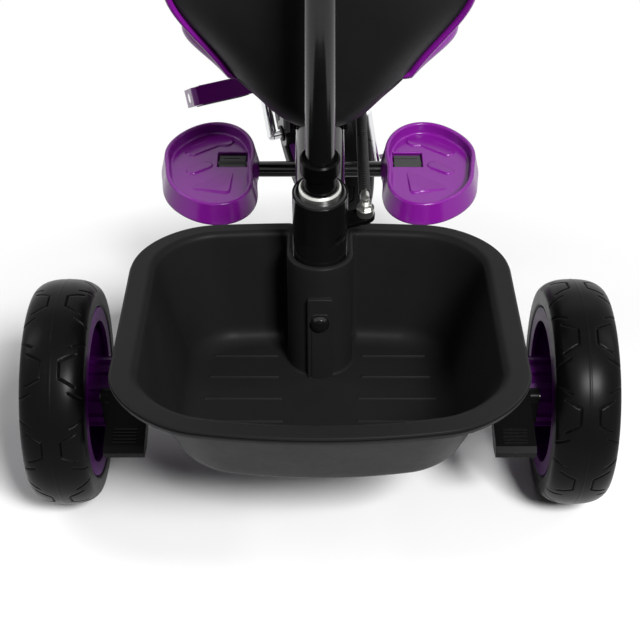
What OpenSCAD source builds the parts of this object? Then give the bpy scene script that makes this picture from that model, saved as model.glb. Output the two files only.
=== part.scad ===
// Toddler push-along trike: X is to the rider's right, Y forward, Z up.
// The origin is on the floor, midway between the rear wheels and under their axle.

/* [Layout] */
// Distance from the rear axle to the front axle
wheelbase = 470; // [440:1:520]
// Distance between the middles of the rear treads
track = 446; // [430:1:480]
// Backward lean of the steering axis and of the push handle, degrees
lean = 12; // [10:0.5:14]
// Steering angle in which the trike stands, degrees to the left
steer_pose = 20; // [-28:1:28]
// Steering lock to either side of straight ahead, degrees
steer_lock = 28; // [20:1:30]

/* [Rear wheels] */
// Diameter of a rear tyre
rear_wheel_d = 200; // [190:1:210]
// Width of a rear tyre
rear_tyre_w = 54; // [46:1:58]
// Diameter of the toothed brake drum over its teeth
drum_d = 62; // [58:1:66]
// Number of teeth on the brake drum
drum_teeth = 12; // [12:12:24]
// Diameter of the rear axle rod
axle_d = 10; // [8:0.5:12]

/* [Front wheel] */
// Diameter of the front tyre
front_wheel_d = 250; // [240:1:260]
// Width of the front tyre
front_tyre_w = 46; // [40:1:48]
// Length of a crank arm from the axle to its pedal
crank_r = 62; // [55:1:66]
// Thickness of the chromed crank rod
crank_d = 11; // [10:0.5:12]

/* [Frame tubes] */
// Diameter of the main tube and of the rear post
tube_d = 45; // [42:0.5:46]
// Wall of the main tube and of the rear post
tube_wall = 2; // [1.5:0.1:2.5]
// How far the upright rear post stands ahead of the rear axle
post_y = 27; // [25:0.5:29]
// Height at which the post, the main tube and the handle meet
joint_z = 253; // [250:0.5:258]
// Diameter of the rear axle tube
axle_tube_d = 22; // [20:0.5:24]
// Length of the head tube
head_len = 100; // [95:1:110]

/* [Basket] */
// Height of the basket rim above the floor
rim_z = 230; // [226:1:236]
// Height of the basket floor's upper face
basket_floor_z = 118; // [117:0.5:122]
// Half the width of the basket opening
mouth_half_w = 141; // [136:1:144]
// Depth from the axle to the middle of the opening's rear edge
mouth_back = 205; // [195:1:210]
// Width of the flat rim flange
rim_w = 18; // [15:0.5:19]
// Wall thickness of the basket
basket_wall = 3; // [2.5:0.1:3.5]

/* [Push handle] */
// Diameter of the push handle tube
handle_d = 24; // [22:0.5:25]
// Length of the push handle above the joint
handle_len = 690; // [600:5:760]
// Width of the push handle's cross bar
handle_bar_w = 300; // [260:5:340]
// Distance from the steering axes to the linkage pins
lever_r = 41; // [40:0.5:42]

/* [Seat] */
// Width of the seat
seat_w = 236; // [220:1:250]
// Length of the seat pan ahead of the curve into the back
seat_len = 180; // [160:1:190]
// Length of the straight part of the back
back_len = 170; // [140:1:190]
// Thickness of the seat shell
shell_t = 5; // [4:0.2:6]
// Thickness of the pads in the middle
pad_t = 22; // [16:0.5:26]

/* [Footrests] */
// Height of the footrest bar
bar_z = 173; // [170:1:176]
// Distance of the footrest bar behind the front axle
bar_back = 194; // [190:1:200]
// Diameter of the footrest bar
bar_d = 16; // [14:0.5:18]
// Width of a footrest tray
tray_w = 96; // [90:1:100]
// Length of a footrest tray
tray_len = 138; // [128:1:142]
// Rise of the tray towards the front, degrees
tray_tilt = 7; // [5:0.5:9]

/* [Hidden] */

$fn = 48;
scale_unit = rear_wheel_d / 200;
// Radial clearance of a turning fit, and the gap left between fixed pieces that seat together
run_fit = 0.06 * scale_unit;
seat_fit = 0.05 * scale_unit;
// Gap that moving faces keep between them
air = 0.5 * scale_unit;
// Amount by which a cut passes a face
past = scale_unit;
edge = 1.5 * scale_unit;

purple = [0.40, 0.06, 0.46];
gloss_black = [0.05, 0.05, 0.05];
matt_black = [0.12, 0.12, 0.12];
tyre_black = [0.09, 0.09, 0.09];
foam_black = [0.15, 0.15, 0.15];
zinc = [0.75, 0.77, 0.74];
chrome = [0.85, 0.86, 0.88];

axle_z = rear_wheel_d / 2;
wheel_x = track / 2;
tube_r = tube_d / 2;
bore_r = tube_r - tube_wall;

// Shares of a tyre's half width and radius, from the bead over the tread
tyre_shares = [
    [-0.86, 0.75], [-1, 0.79], [-1, 0.885], [-0.9, 0.945], [-0.68, 0.982], [0, 1],
    [0.68, 0.982], [0.9, 0.945], [1, 0.885], [1, 0.79], [0.86, 0.75]
];
bead_share = 0.75;

// Height of the front axle at which the turned and leaning wheel just meets the floor
front_half_w = front_tyre_w / 2;
front_r = front_wheel_d / 2;
spin_rise = sin(lean) * sin(steer_pose);
front_axle_z = max([
    for (s = tyre_shares)
        s.y * front_r * sqrt(1 - spin_rise * spin_rise) + abs(s.x * front_half_w * spin_rise)
]);

// Points of the handle's and the fork's own frames, carried into the trike's frame
function turned(p) = [
    p.x * cos(steer_pose) - p.y * sin(steer_pose),
    p.x * sin(steer_pose) + p.y * cos(steer_pose),
    p.z
];
function leaned(p) = [
    p.x,
    p.y * cos(lean) - p.z * sin(lean),
    p.y * sin(lean) + p.z * cos(lean)
];
handle_origin = [0, post_y, joint_z];
steer_origin = [0, wheelbase, front_axle_z];
bar_y = wheelbase - bar_back;
function on_handle(p) = handle_origin + leaned(turned(p));
function on_steer(p) = steer_origin + leaned(turned(p));

module at_handle_axis() {
    translate(handle_origin) rotate([lean, 0, 0]) children();
}
module at_handle() {
    at_handle_axis() rotate([0, 0, steer_pose]) children();
}
module at_head() {
    translate(steer_origin) rotate([lean, 0, 0]) children();
}
module at_steer() {
    at_head() rotate([0, 0, steer_pose]) children();
}

// Carries a shape that stands along Z onto the line from p to q
module along(p, q) {
    v = q - p;
    translate(p)
        rotate([0, acos(v.z / norm(v)), atan2(v.y, v.x)])
            children();
}
module rod(p, q, d) {
    along(p, q) cylinder(d = d, h = norm(q - p));
}
function unit(v) = v / norm(v);
// Round elbow, a little proud, where a rod turns from one direction to the next
module knuckle(p, from_dir, to_dir, d) {
    along(p, p + unit(from_dir) + unit(to_dir)) sphere(d = 1.03 * d);
}
module ring(outer_d, inner_d, h) {
    difference() {
        cylinder(d = outer_d, h = h);
        translate([0, 0, -past]) cylinder(d = inner_d, h = h + 2 * past);
    }
}
// Cylinder along X between two places
module cross_rod(x_from, x_to, d) {
    translate([x_from, 0, 0]) rotate([0, 90, 0]) cylinder(d = d, h = x_to - x_from);
}
module cross_ring(x_from, x_to, outer_d, inner_d) {
    difference() {
        cross_rod(x_from, x_to, outer_d);
        cross_rod(x_from - past, x_to + past, inner_d);
    }
}
// Flat rectangle with round corners, in plan
module soft_rect(w, l, r) {
    square([w - 2 * r, l], center = true);
    square([w, l - 2 * r], center = true);
    for (sx = [-1, 1], sy = [-1, 1])
        translate([sx * (w / 2 - r), sy * (l / 2 - r)]) circle(r = r);
}
module soft_block(w, l, h, r) {
    linear_extrude(h) soft_rect(w, l, r);
}
module both_sides() {
    children();
    mirror([1, 0, 0]) children();
}
// Faces of a skin through rings of n points each, closed at both ends
function skin_faces(rings, n) = concat(
    [[for (i = [0 : n - 1]) n - 1 - i]],
    [for (r = [0 : rings - 2], i = [0 : n - 1])
        [r * n + i, r * n + (i + 1) % n, (r + 1) * n + (i + 1) % n, (r + 1) * n + i]],
    [[for (i = [0 : n - 1]) (rings - 1) * n + i]]
);
function mix(a, b, t) = a + (b - a) * t;

// Rear wheels
module tyre(d, w) {
    rotate([0, 90, 0])
        rotate_extrude($fn = 72)
            polygon([for (s = tyre_shares) [s.y * d / 2, s.x * w / 2]]);
}
rear_half_w = rear_tyre_w / 2;
rear_seat_r = bead_share * rear_wheel_d / 2;
drum_r = drum_d / 2;
tooth_h = 0.11 * drum_r;
hub_bush_d = 1.7 * axle_d;
rim_wall = 3.5 * scale_unit;
flange_w = 0.16 * rear_seat_r;
hub_in = -1.63 * rear_half_w;
disc_in = 0.16 * rear_half_w;
disc_out = disc_in + rim_wall;
hub_out = disc_out + 2 * scale_unit;
rim_out = 0.8 * rear_half_w;
rim_in = -0.97 * rear_half_w;

module rear_rim() {
    color(purple)
        rotate([0, 90, 0]) {
            rotate_extrude($fn = 72) polygon([
                [hub_bush_d / 2 + seat_fit, hub_in], [drum_r - tooth_h, hub_in],
                [drum_r - tooth_h, disc_in], [rear_seat_r - rim_wall, disc_in],
                [rear_seat_r - rim_wall, rim_in + rim_wall],
                [rear_seat_r - flange_w, rim_in + rim_wall], [rear_seat_r - flange_w, rim_in],
                [rear_seat_r - seat_fit, rim_in], [rear_seat_r - seat_fit, rim_out],
                [rear_seat_r - rim_wall, rim_out], [rear_seat_r - rim_wall, disc_out],
                [0.62 * drum_r, disc_out], [0.62 * drum_r, hub_out],
                [hub_bush_d / 2 + seat_fit, hub_out]
            ]);
            for (i = [0 : drum_teeth - 1])
                rotate((i + 0.5) * 360 / drum_teeth)
                    translate([0, 0, hub_in + edge / 2])
                        linear_extrude(disc_in - hub_in) polygon([
                            [drum_r - 2 * tooth_h, -0.13 * drum_r], [drum_r, -0.09 * drum_r],
                            [drum_r, 0.09 * drum_r], [drum_r - 2 * tooth_h, 0.13 * drum_r]
                        ]);
            for (i = [0 : 4])
                rotate(i * 72 + 36)
                    translate([0.62 * drum_r, -rim_wall / 2, disc_out - past])
                        cube([rear_seat_r - 0.62 * drum_r - rim_wall / 2, rim_wall, rim_out - disc_out]);
        }
}
module rear_bush() {
    color(matt_black) cross_ring(hub_in, hub_out, hub_bush_d, axle_d + 2 * run_fit);
}
cap_d = 1.08 * drum_r;
cap_h = rim_out - hub_out;
module rear_cap() {
    color(purple)
        translate([hub_out + seat_fit, 0, 0]) rotate([0, 90, 0]) difference() {
            rotate_extrude() polygon([
                [0, 0], [cap_d / 2, 0], [cap_d / 2, 0.6 * cap_h], [0.8 * cap_d / 2, cap_h], [0, cap_h]
            ]);
            translate([0, 0, -past]) cylinder(d = 0.8 * cap_d, h = 0.75 * cap_h + past);
        }
}
module on_right_wheel() {
    translate([wheel_x, 0, axle_z]) children();
}
module on_left_wheel() {
    mirror([1, 0, 0]) on_right_wheel() children();
}
module rear_tyre() {
    color(tyre_black) tyre(rear_wheel_d, rear_tyre_w);
}

// Rear axle
axle_tube_half = 0.62 * wheel_x;
nut_h = 0.42 * axle_d;
axle_half = wheel_x + hub_out + 1.25 * nut_h;
module rear_axle() {
    color(zinc) translate([0, 0, axle_z]) cross_rod(-axle_half, axle_half, axle_d);
}
plug_len = 0.9 * axle_tube_d;
module axle_plugs() {
    color(matt_black) translate([0, 0, axle_z]) both_sides()
        cross_ring(axle_tube_half - plug_len, axle_tube_half,
            axle_tube_d - 2 * tube_wall - 2 * seat_fit, axle_d + 2 * seat_fit);
}
module axle_spacers() {
    color(matt_black) translate([0, 0, axle_z]) both_sides()
        cross_ring(axle_tube_half + seat_fit, wheel_x + hub_in - air,
            0.8 * axle_tube_d, axle_d + 2 * seat_fit);
}
module axle_nuts() {
    color(zinc) translate([0, 0, axle_z]) both_sides()
        translate([wheel_x + hub_out + air, 0, 0]) rotate([0, 90, 0]) difference() {
            cylinder(d = 1.9 * axle_d, h = nut_h, $fn = 6);
            translate([0, 0, -past]) cylinder(d = axle_d + 2 * seat_fit, h = nut_h + 2 * past, $fn = 48);
        }
}

// Frame: post, main tube, head tube and axle tube welded together
post_bottom = axle_z - 0.7 * axle_tube_d;
socket_top = 41 * scale_unit;
socket_d = 1.03 * tube_d;
cup_seat_d = 0.88 * tube_d;
cup_d = cup_seat_d - 2 * seat_fit;
main_d = 0.97 * tube_d;
joint_lap = 3 * scale_unit;
spigot_d = 0.66 * handle_d;
spigot_len = 36 * scale_unit;
bush_d = 1.1 * handle_d;
crown_z = front_r + 16 * scale_unit;
crown_h = 12 * scale_unit;
// Head tube, set clear above the fork crown, and the main tube that rises to it
head_gap = 19.2 * scale_unit;
head_from = crown_z + crown_h + head_gap;
head_mid = head_from + 0.46 * head_len;
to_head = steer_origin + leaned([0, 0, head_mid]) - handle_origin;
main_rise = atan2(to_head.z, to_head.y);
main_dir = unit(to_head);
main_len = norm(to_head);
head_d = 0.88 * tube_d;
head_bore = head_d - 3 * tube_wall;
steerer_d = 0.56 * tube_d;
lever_w = 0.4 * lever_r;
lever_t = 4 * scale_unit;
// Half angle of the slot that the lever sweeps in
slot_half = steer_lock + asin((lever_w / 2 + edge) / bore_r);
saddle_half = 0.66 * tube_d;
basket_under = basket_floor_z - basket_wall - seat_fit;
screw_z = mix(basket_floor_z, rim_z, 0.53);
screw_d = 6 * scale_unit;

// Outer shapes, then the bores that run through them
module frame_tubes() {
    translate([0, post_y, post_bottom]) cylinder(r = tube_r, h = joint_z + joint_lap - post_bottom);
    at_handle_axis() translate([0, 0, -joint_lap]) cylinder(d = socket_d, h = socket_top + joint_lap);
    rod(handle_origin, handle_origin + main_len * main_dir, main_d);
    at_head() translate([0, 0, head_from]) cylinder(d = head_d, h = head_len);
    translate([0, 0, axle_z]) cross_rod(-axle_tube_half, axle_tube_half, axle_tube_d);
    translate([-saddle_half, -0.6 * axle_tube_d, axle_z - axle_tube_d / 2])
        cube([2 * saddle_half, 0.6 * axle_tube_d + post_y, basket_under - axle_z + axle_tube_d / 2]);
}
module frame_bores() {
    translate([0, post_y, axle_z + axle_tube_d / 2])
        cylinder(r = bore_r, h = joint_z - 1.2 * tube_d - axle_z - axle_tube_d / 2);
    at_handle_axis() translate([0, 0, -2 * joint_lap])
        cylinder(d = cup_seat_d, h = socket_top + 3 * joint_lap);
    at_handle_axis() translate([0, 0, -spigot_len - joint_lap]) cylinder(d = bush_d, h = spigot_len);
    rod(handle_origin + tube_d * main_dir,
        handle_origin + (main_len - 0.7 * head_d) * main_dir, main_d - 2 * tube_wall);
    at_head() translate([0, 0, head_from - past]) cylinder(d = head_bore, h = head_len + 2 * past);
    translate([0, 0, axle_z])
        cross_rod(-axle_tube_half - past, axle_tube_half + past, axle_tube_d - 2 * tube_wall);
    // Slot through which the linkage lever sweeps
    at_handle_axis() translate([0, 0, -edge]) linear_extrude(lever_t + 2 * edge) polygon([
        [0, 0], [tube_d, -tube_d * tan(slot_half)], [tube_d, tube_d * tan(slot_half)]
    ]);
    translate([0, post_y, screw_z]) rotate([90, 0, 0]) cylinder(d = screw_d + 2 * seat_fit, h = tube_d);
}
module frame() {
    color(gloss_black) difference() {
        frame_tubes();
        frame_bores();
    }
}

// Bearing of the push handle
cup_from = 11 * scale_unit;
cup_lip = 2 * scale_unit;
race_h = 5 * scale_unit;
race_from = socket_top + cup_lip + 2 * seat_fit;
module post_cup() {
    color(gloss_black) at_handle_axis() difference() {
        union() {
            translate([0, 0, cup_from]) cylinder(d = cup_d, h = socket_top - cup_from + seat_fit);
            translate([0, 0, socket_top + seat_fit])
                cylinder(d1 = 0.97 * tube_d, d2 = 0.9 * tube_d, h = cup_lip);
        }
        cylinder(d = handle_d + 2 * run_fit, h = tube_d);
    }
}
module post_race() {
    color(zinc) at_handle_axis() translate([0, 0, race_from]) rotate_extrude() polygon([
        [handle_d / 2 + air, 0], [0.78 * tube_r, 0], [0.78 * tube_r, 0.6 * race_h],
        [0.72 * tube_r, race_h], [0.66 * tube_r, race_h], [handle_d / 2 + air, 0.5 * race_h]
    ]);
}
bush_h = 14 * scale_unit;
module post_bush() {
    color(matt_black) at_handle_axis() translate([0, 0, -spigot_len])
        ring(bush_d - 2 * seat_fit, spigot_d + 2 * run_fit, bush_h);
}
bush_len = 0.18 * head_len;
bush_lip = 3 * scale_unit;
module head_bush() {
    difference() {
        union() {
            cylinder(d = head_d, h = bush_lip);
            cylinder(d = head_bore - 2 * seat_fit, h = bush_lip + bush_len);
        }
        translate([0, 0, -past]) cylinder(d = steerer_d + 2 * run_fit, h = bush_len + bush_lip + 2 * past);
    }
}
module head_bushes() {
    color(matt_black) at_head() {
        translate([0, 0, head_from - bush_lip - seat_fit]) head_bush();
        translate([0, 0, head_from + head_len + bush_lip + seat_fit]) mirror([0, 0, 1]) head_bush();
    }
}

// Basket: rings of an outline that widens from the floor to the rim
floor_half_w = 0.8 * mouth_half_w;
floor_back = 0.67 * mouth_back;
floor_front = post_y + 0.5 * tube_d + 8.5 * scale_unit;
mouth_front = floor_front + scale_unit;
floor_corner = 0.36 * floor_half_w;
mouth_corner = 0.36 * mouth_half_w;
corner_steps = 7;
edge_steps = 3;
// Points of a round-cornered rectangle whose front and rear edges bow outwards
function bowed(p, hw, mid) =
    let (s = p.x / hw * p.x / hw)
    [p.x, p.y >= mid ? p.y - 0.07 * s * (p.y - mid) : p.y + 0.17 * s * (mid - p.y)];
function outline(hw, front, back, r) = let (mid = (front - back) / 2) [
    for (c = [[1, -1, 270], [1, 1, 0], [-1, 1, 90], [-1, -1, 180]])
        for (i = [0 : corner_steps + edge_steps])
            let (
                a = c.z + min(i, corner_steps) * 90 / corner_steps,
                px = c.x * (hw - r) + r * cos(a),
                py = (c.y > 0 ? front - r : -back + r) + r * sin(a),
                over = max(0, i - corner_steps) / (edge_steps + 1)
            )
            if (i <= corner_steps || c.z == 0 || c.z == 180)
                bowed([mix(px, -px, over), py], hw, mid)
];
// One ring: t runs from the floor to the rim, out is the offset from the inner wall
function basket_ring(t, out, z) = [
    for (p = outline(
        mix(floor_half_w, mouth_half_w, t) + out,
        mix(floor_front, mouth_front, t) + out,
        mix(floor_back, mouth_back, t) + out,
        mix(floor_corner, mouth_corner, t) + out))
        [p.x, p.y, z]
];
lip_h = 4.5 * scale_unit;
lip_step = 2 * scale_unit;
fillet = 14 * scale_unit;
function wall_z(t) = mix(basket_floor_z, rim_z, t);
basket_rings = [
    basket_ring(0, -fillet, basket_floor_z),
    basket_ring(0.02, -0.35 * fillet, basket_floor_z + 0.2 * fillet),
    basket_ring(0.1, 0, wall_z(0.12)),
    basket_ring(0.96, 0, wall_z(0.96)),
    basket_ring(1, 0.12 * rim_w, rim_z),
    basket_ring(1, 0.9 * rim_w, rim_z),
    basket_ring(1, rim_w, rim_z - 0.3 * lip_h),
    basket_ring(1, rim_w, rim_z - 0.8 * lip_h),
    basket_ring(1, rim_w + lip_step, rim_z - lip_h),
    basket_ring(1, rim_w + lip_step, rim_z - 2 * lip_h),
    basket_ring(1, rim_w + lip_step - basket_wall, rim_z - 2 * lip_h),
    basket_ring(1, rim_w - basket_wall, rim_z - basket_wall),
    basket_ring(1, basket_wall, rim_z - basket_wall),
    basket_ring(0.1, basket_wall, wall_z(0.1)),
    basket_ring(0.02, -0.2 * fillet, basket_floor_z - 0.8 * basket_wall),
    basket_ring(0, -0.7 * fillet, basket_floor_z - basket_wall)
];
basket_core = [
    basket_ring(1, 0.5 * basket_wall, rim_z - edge / 2),
    basket_ring(0.1, 0.5 * basket_wall, wall_z(0.1)),
    basket_ring(0, 0, basket_floor_z - basket_wall)
];
module ring_skin(rings) {
    n = len(rings[0]);
    polyhedron([for (r = rings) each r], skin_faces(len(rings), n), convexity = 8);
}
channel_r = tube_r + scale_unit;
channel_wall = 5 * scale_unit;
tab_w = 22 * scale_unit;
tab_t = 3 * scale_unit;
tab_top = mix(basket_floor_z, rim_z, 0.74);
tab_y = post_y - channel_r - channel_wall - tab_t;
// Plan of the channel round the post, open towards the front
module channel_plan(r, front) {
    circle(r = r);
    translate([-r, 0]) square([2 * r, front - post_y]);
}
rib_count = 4;
rib_w = 2.5 * scale_unit;
rib_h = 1.2 * scale_unit;
rib_pitch = 31 * scale_unit;
module floor_ribs() {
    for (i = [0 : rib_count - 1])
        both_sides()
            translate([0.63 * floor_half_w, floor_front - (0.96 + i) * rib_pitch, basket_floor_z - rib_h])
                soft_block(0.56 * floor_half_w, rib_w, 2 * rib_h, 0.4 * rib_w);
}
module basket() {
    color(matt_black) difference() {
        union() {
            ring_skin(basket_rings);
            intersection() {
                translate([0, post_y, basket_floor_z - basket_wall])
                    linear_extrude(rim_z - edge / 2 - basket_floor_z + basket_wall)
                        channel_plan(channel_r + channel_wall, mouth_front);
                ring_skin(basket_core);
            }
            translate([-tab_w / 2, tab_y, basket_floor_z - rib_h])
                cube([tab_w, tab_t + channel_wall, tab_top - basket_floor_z + rib_h]);
            floor_ribs();
        }
        translate([0, post_y, basket_floor_z - rim_z])
            linear_extrude(2 * rim_z) channel_plan(channel_r, mouth_front + 2 * rim_w + post_y);
        translate([0, post_y, screw_z]) rotate([90, 0, 0])
            cylinder(d = screw_d + 2 * seat_fit, h = 2 * tube_d);
    }
}
screw_head_d = 16 * scale_unit;
screw_head_h = 6 * scale_unit;
module basket_screw() {
    color(gloss_black) translate([0, tab_y - seat_fit, screw_z]) rotate([90, 0, 0]) {
        rotate_extrude() polygon([
            [0, 0], [screw_head_d / 2, 0], [screw_head_d / 2, 0.4 * screw_head_h],
            [0.38 * screw_head_d, 0.8 * screw_head_h], [0.2 * screw_head_d, screw_head_h], [0, screw_head_h]
        ]);
        translate([0, 0, tab_y - post_y + 0.7 * bore_r])
            cylinder(d = screw_d, h = post_y - tab_y - 0.7 * bore_r + past);
    }
}

// Seat: a bent sheet whose sides curve up, described by a path and a sideways share
seat_tilt = main_rise - 3.4;
seat_y = 115 * scale_unit;
seat_lift = 19 * scale_unit;
seat_z = joint_z + (seat_y - post_y) * tan(main_rise) + tube_r / cos(main_rise) + seat_lift;
bend_r = 55 * scale_unit;
back_lean = 6;
bend_sweep = 90 - back_lean;
bend_len = bend_r * bend_sweep * PI / 180;
path_len = seat_len + bend_len + back_len;
function bend_angle(d) = 270 - (d - seat_len) / bend_r * 180 / PI;
back_dir = [-sin(back_lean), cos(back_lean)];
back_foot = [-bend_r * cos(back_lean), bend_r - bend_r * sin(back_lean)];
// Place on the path at distance d from the front edge, and the direction towards the rider there
function path_at(d) = d <= seat_len ? [seat_len - d, 0]
    : d <= seat_len + bend_len ? [bend_r * cos(bend_angle(d)), bend_r + bend_r * sin(bend_angle(d))]
    : back_foot + (d - seat_len - bend_len) * back_dir;
function path_up(d) = d <= seat_len ? [0, 1]
    : d <= seat_len + bend_len ? [-cos(bend_angle(d)), -sin(bend_angle(d))]
    : [cos(back_lean), sin(back_lean)];
end_round = 70 * scale_unit;
function rounded_end(d) = d >= end_round ? 1 : 0.62 + 0.38 * sqrt(1 - pow(1 - d / end_round, 2));
// Waist of the sheet, narrowest in the middle of the bend
waist_half = 130 * scale_unit;
function waist_at(d) = let (s = min(1, abs(d - seat_len - bend_len / 2) / waist_half))
    1 - 0.45 * pow(1 - s * s, 2);
function half_w_at(d) = seat_w / 2 * waist_at(d) * rounded_end(d) * rounded_end(path_len - d);
side_rise = 44 * scale_unit;
function rise_at(d) = side_rise * (0.45 + 0.55 * sin(180 * min(1, max(0, d / path_len))));
// Point of the sheet at path distance d, sideways share x and height h above its outer face
function seat_point(d, x, h) = let (
    c = path_at(d),
    u = path_up(d),
    o = h + rise_at(d) * pow(abs(x), 2.3)
) [x * half_w_at(d), c.x + u.x * o, c.y + u.y * o];
module at_seat() {
    translate([0, seat_y, seat_z]) rotate([seat_tilt, 0, 0]) children();
}
seat_rows = 22;
seat_cols = 14;
// Closed sheet between two heights over a stretch of the path
module sheet(d_from, d_to, x_half, rows, cols, low, high) {
    ds = [for (i = [0 : rows]) mix(d_from, d_to, i / rows)];
    xs = [for (j = [0 : cols]) mix(-x_half, x_half, j / cols)];
    n = 2 * (cols + 1);
    rings = [for (d = ds) concat(
        [for (j = [0 : cols]) seat_point(d, xs[j], low)],
        [for (j = [cols : -1 : 0]) seat_point(d, xs[j], high(d, xs[j]))]
    )];
    strips = [for (r = [0 : rows - 1], i = [0 : n - 1])
        [r * n + i, (r + 1) * n + i, (r + 1) * n + (i + 1) % n, r * n + (i + 1) % n]];
    ends = [for (j = [0 : cols - 1])
        each [
            [j, j + 1, n - 2 - j, n - 1 - j],
            [for (k = [n - 1 - j, n - 2 - j, j + 1, j]) rows * n + k]
        ]];
    polyhedron([for (r = rings) each r], concat(strips, ends), convexity = 6);
}
module seat_shell() {
    color(matt_black) at_seat() difference() {
        sheet(0, path_len, 1, seat_rows, seat_cols, 0, function (d, x) shell_t);
        for (p = seat_bolt_places)
            translate([p.x, p.y, -past]) cylinder(d = seat_bolt_d + 2 * seat_fit, h = tube_d);
    }
}
seat_bolt_d = 6 * scale_unit;
plate_w = 0.62 * tube_d + tube_r;
plate_len = 0.72 * seat_len;
plate_from = 0.16 * seat_len;
seat_bolt_places = [
    for (sx = [-1, 1], sy = [0.2, 0.8])
        [sx * 0.3 * plate_w, plate_from + sy * plate_len]
];
trim_w = 6 * scale_unit;
trim_lip = 2 * scale_unit;
trim_gap = 0.4 * scale_unit;
// Edge of the sheet as one closed walk: right side back to front, front edge, left side, top edge
trim_walk = concat(
    [for (i = [seat_rows : -1 : 1]) [i / seat_rows * path_len, 1]],
    [for (j = [0 : seat_cols - 1]) [0, 1 - 2 * j / seat_cols]],
    [for (i = [0 : seat_rows - 1]) [i / seat_rows * path_len, -1]],
    [for (j = [0 : seat_cols - 1]) [path_len, 2 * j / seat_cols - 1]]
);
module seat_trim() {
    m = len(trim_walk);
    mid = [for (w = trim_walk) seat_point(w.x, w.y, shell_t / 2)];
    up = [for (w = trim_walk)
        unit(seat_point(w.x, w.y, shell_t) - seat_point(w.x, w.y, 0))];
    out = [for (i = [0 : m - 1]) unit(cross(mid[(i + 1) % m] - mid[(i + m - 1) % m], up[i]))];
    h = shell_t / 2 + trim_lip;
    corners = [for (i = [0 : m - 1]) [
        mid[i] + out[i] * trim_gap - up[i] * h / 2,
        mid[i] + out[i] * trim_w - up[i] * h,
        mid[i] + out[i] * trim_w + up[i] * h,
        mid[i] + out[i] * trim_gap + up[i] * h / 2
    ]];
    color(purple) at_seat() polyhedron(
        [for (c = corners) each c],
        [for (i = [0 : m - 1], k = [0 : 3])
            [i * 4 + k, (i + 1) % m * 4 + k, (i + 1) % m * 4 + (k + 1) % 4, i * 4 + (k + 1) % 4]],
        convexity = 6);
}
// Height of a crowned pad above its base at shares u and v of its half length and half width
function crown(u, v) = pad_t * (0.3 + 0.7 * (1 - pow(abs(u), 6)) * (1 - pow(abs(v), 6)) - 0.06 * u * u);
pad_x = 0.72;
pad_gap = 1.4 * scale_unit;
module pad(d_from, d_to) {
    sheet(d_from, d_to, pad_x, 14, 12, shell_t + pad_gap,
        function (d, x) shell_t + pad_gap + crown(2 * (d - d_from) / (d_to - d_from) - 1, x / pad_x));
}
module seat_cushion() {
    color(matt_black) at_seat() pad(0.1 * seat_len, seat_len);
}
module back_cushion() {
    color(matt_black) at_seat() pad(seat_len + bend_len, path_len - 0.1 * back_len);
}
plate_t = 3 * scale_unit;
gusset_t = 2.5 * scale_unit;
module seat_bracket() {
    color(gloss_black) difference() {
        union() {
            at_seat() translate([-plate_w / 2, plate_from, -plate_t - seat_fit])
                cube([plate_w, plate_len, plate_t]);
            at_seat() both_sides()
                translate([tube_r - gusset_t / 2, plate_from, -tube_d])
                    cube([gusset_t, plate_len, tube_d - seat_fit]);
        }
        rod(handle_origin, handle_origin + main_len * main_dir, main_d + 2 * seat_fit);
        translate([-tube_d, 0, 0]) translate(handle_origin) rotate([main_rise, 0, 0])
            translate([0, 0, -tube_d]) cube([2 * tube_d, wheelbase, tube_d + 0.2 * tube_r]);
        at_seat() for (p = seat_bolt_places)
            translate([p.x, p.y, -tube_d]) cylinder(d = seat_bolt_d + 2 * seat_fit, h = 2 * tube_d);
    }
}
module seat_bolts() {
    color(zinc) at_seat() for (p = seat_bolt_places)
        translate([p.x, p.y, 0]) {
            translate([0, 0, -2 * plate_t]) cylinder(d = seat_bolt_d, h = 2 * plate_t + shell_t - past / 2);
            translate([0, 0, -2 * plate_t - seat_fit])
                cylinder(d = 1.8 * seat_bolt_d, h = plate_t - seat_fit);
        }
}

// Footrests
tray_in = 62 * scale_unit;
bar_half = tray_in + 0.45 * tray_w;
strut_d = 0.56 * tube_d;
strut_top = joint_z + (bar_y - post_y) * tan(main_rise);
module footrest_strut() {
    color(gloss_black) difference() {
        union() {
            translate([0, bar_y, bar_z]) cylinder(d = strut_d, h = strut_top - bar_z);
            translate([0, bar_y, bar_z]) cross_rod(-strut_d, strut_d, 1.7 * bar_d);
        }
        rod(handle_origin, handle_origin + main_len * main_dir, main_d + 2 * seat_fit);
        translate([-strut_d, 0, 0]) translate(handle_origin) rotate([main_rise, 0, 0])
            cube([2 * strut_d, wheelbase, tube_d]);
        translate([0, bar_y, bar_z]) cross_rod(-2 * strut_d, 2 * strut_d, bar_d + 2 * seat_fit);
    }
}
module footrest_bar() {
    color(gloss_black) translate([0, bar_y, bar_z]) cross_rod(-bar_half, bar_half, bar_d);
}
window_in = 12 * scale_unit;
window_w = 30 * scale_unit;
window_l = 25 * scale_unit;
clip_t = 3 * scale_unit;
clip_half_l = 10 * scale_unit;
clip_top = 9.5 * scale_unit;
module footrest_clip() {
    clip_w = window_w - 2 * edge;
    difference() {
        union() {
            cross_rod(0, clip_w, bar_d + 2 * clip_t);
            translate([0, -clip_half_l, -bar_d / 2]) cube([clip_w, 2 * clip_half_l, bar_d / 2 + clip_top]);
        }
        translate([0.25 * clip_w, 0.25 * clip_half_l, clip_top - edge]) cube([0.6 * clip_w, 2 * edge, edge + past]);
        cross_rod(-past, clip_w + past, bar_d + 2 * seat_fit);
    }
}
module footrest_clips() {
    color(matt_black) translate([0, bar_y, bar_z]) both_sides()
        translate([tray_in + window_in + edge, 0, 0]) rotate([tray_tilt, 0, 0]) footrest_clip();
}
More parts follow.
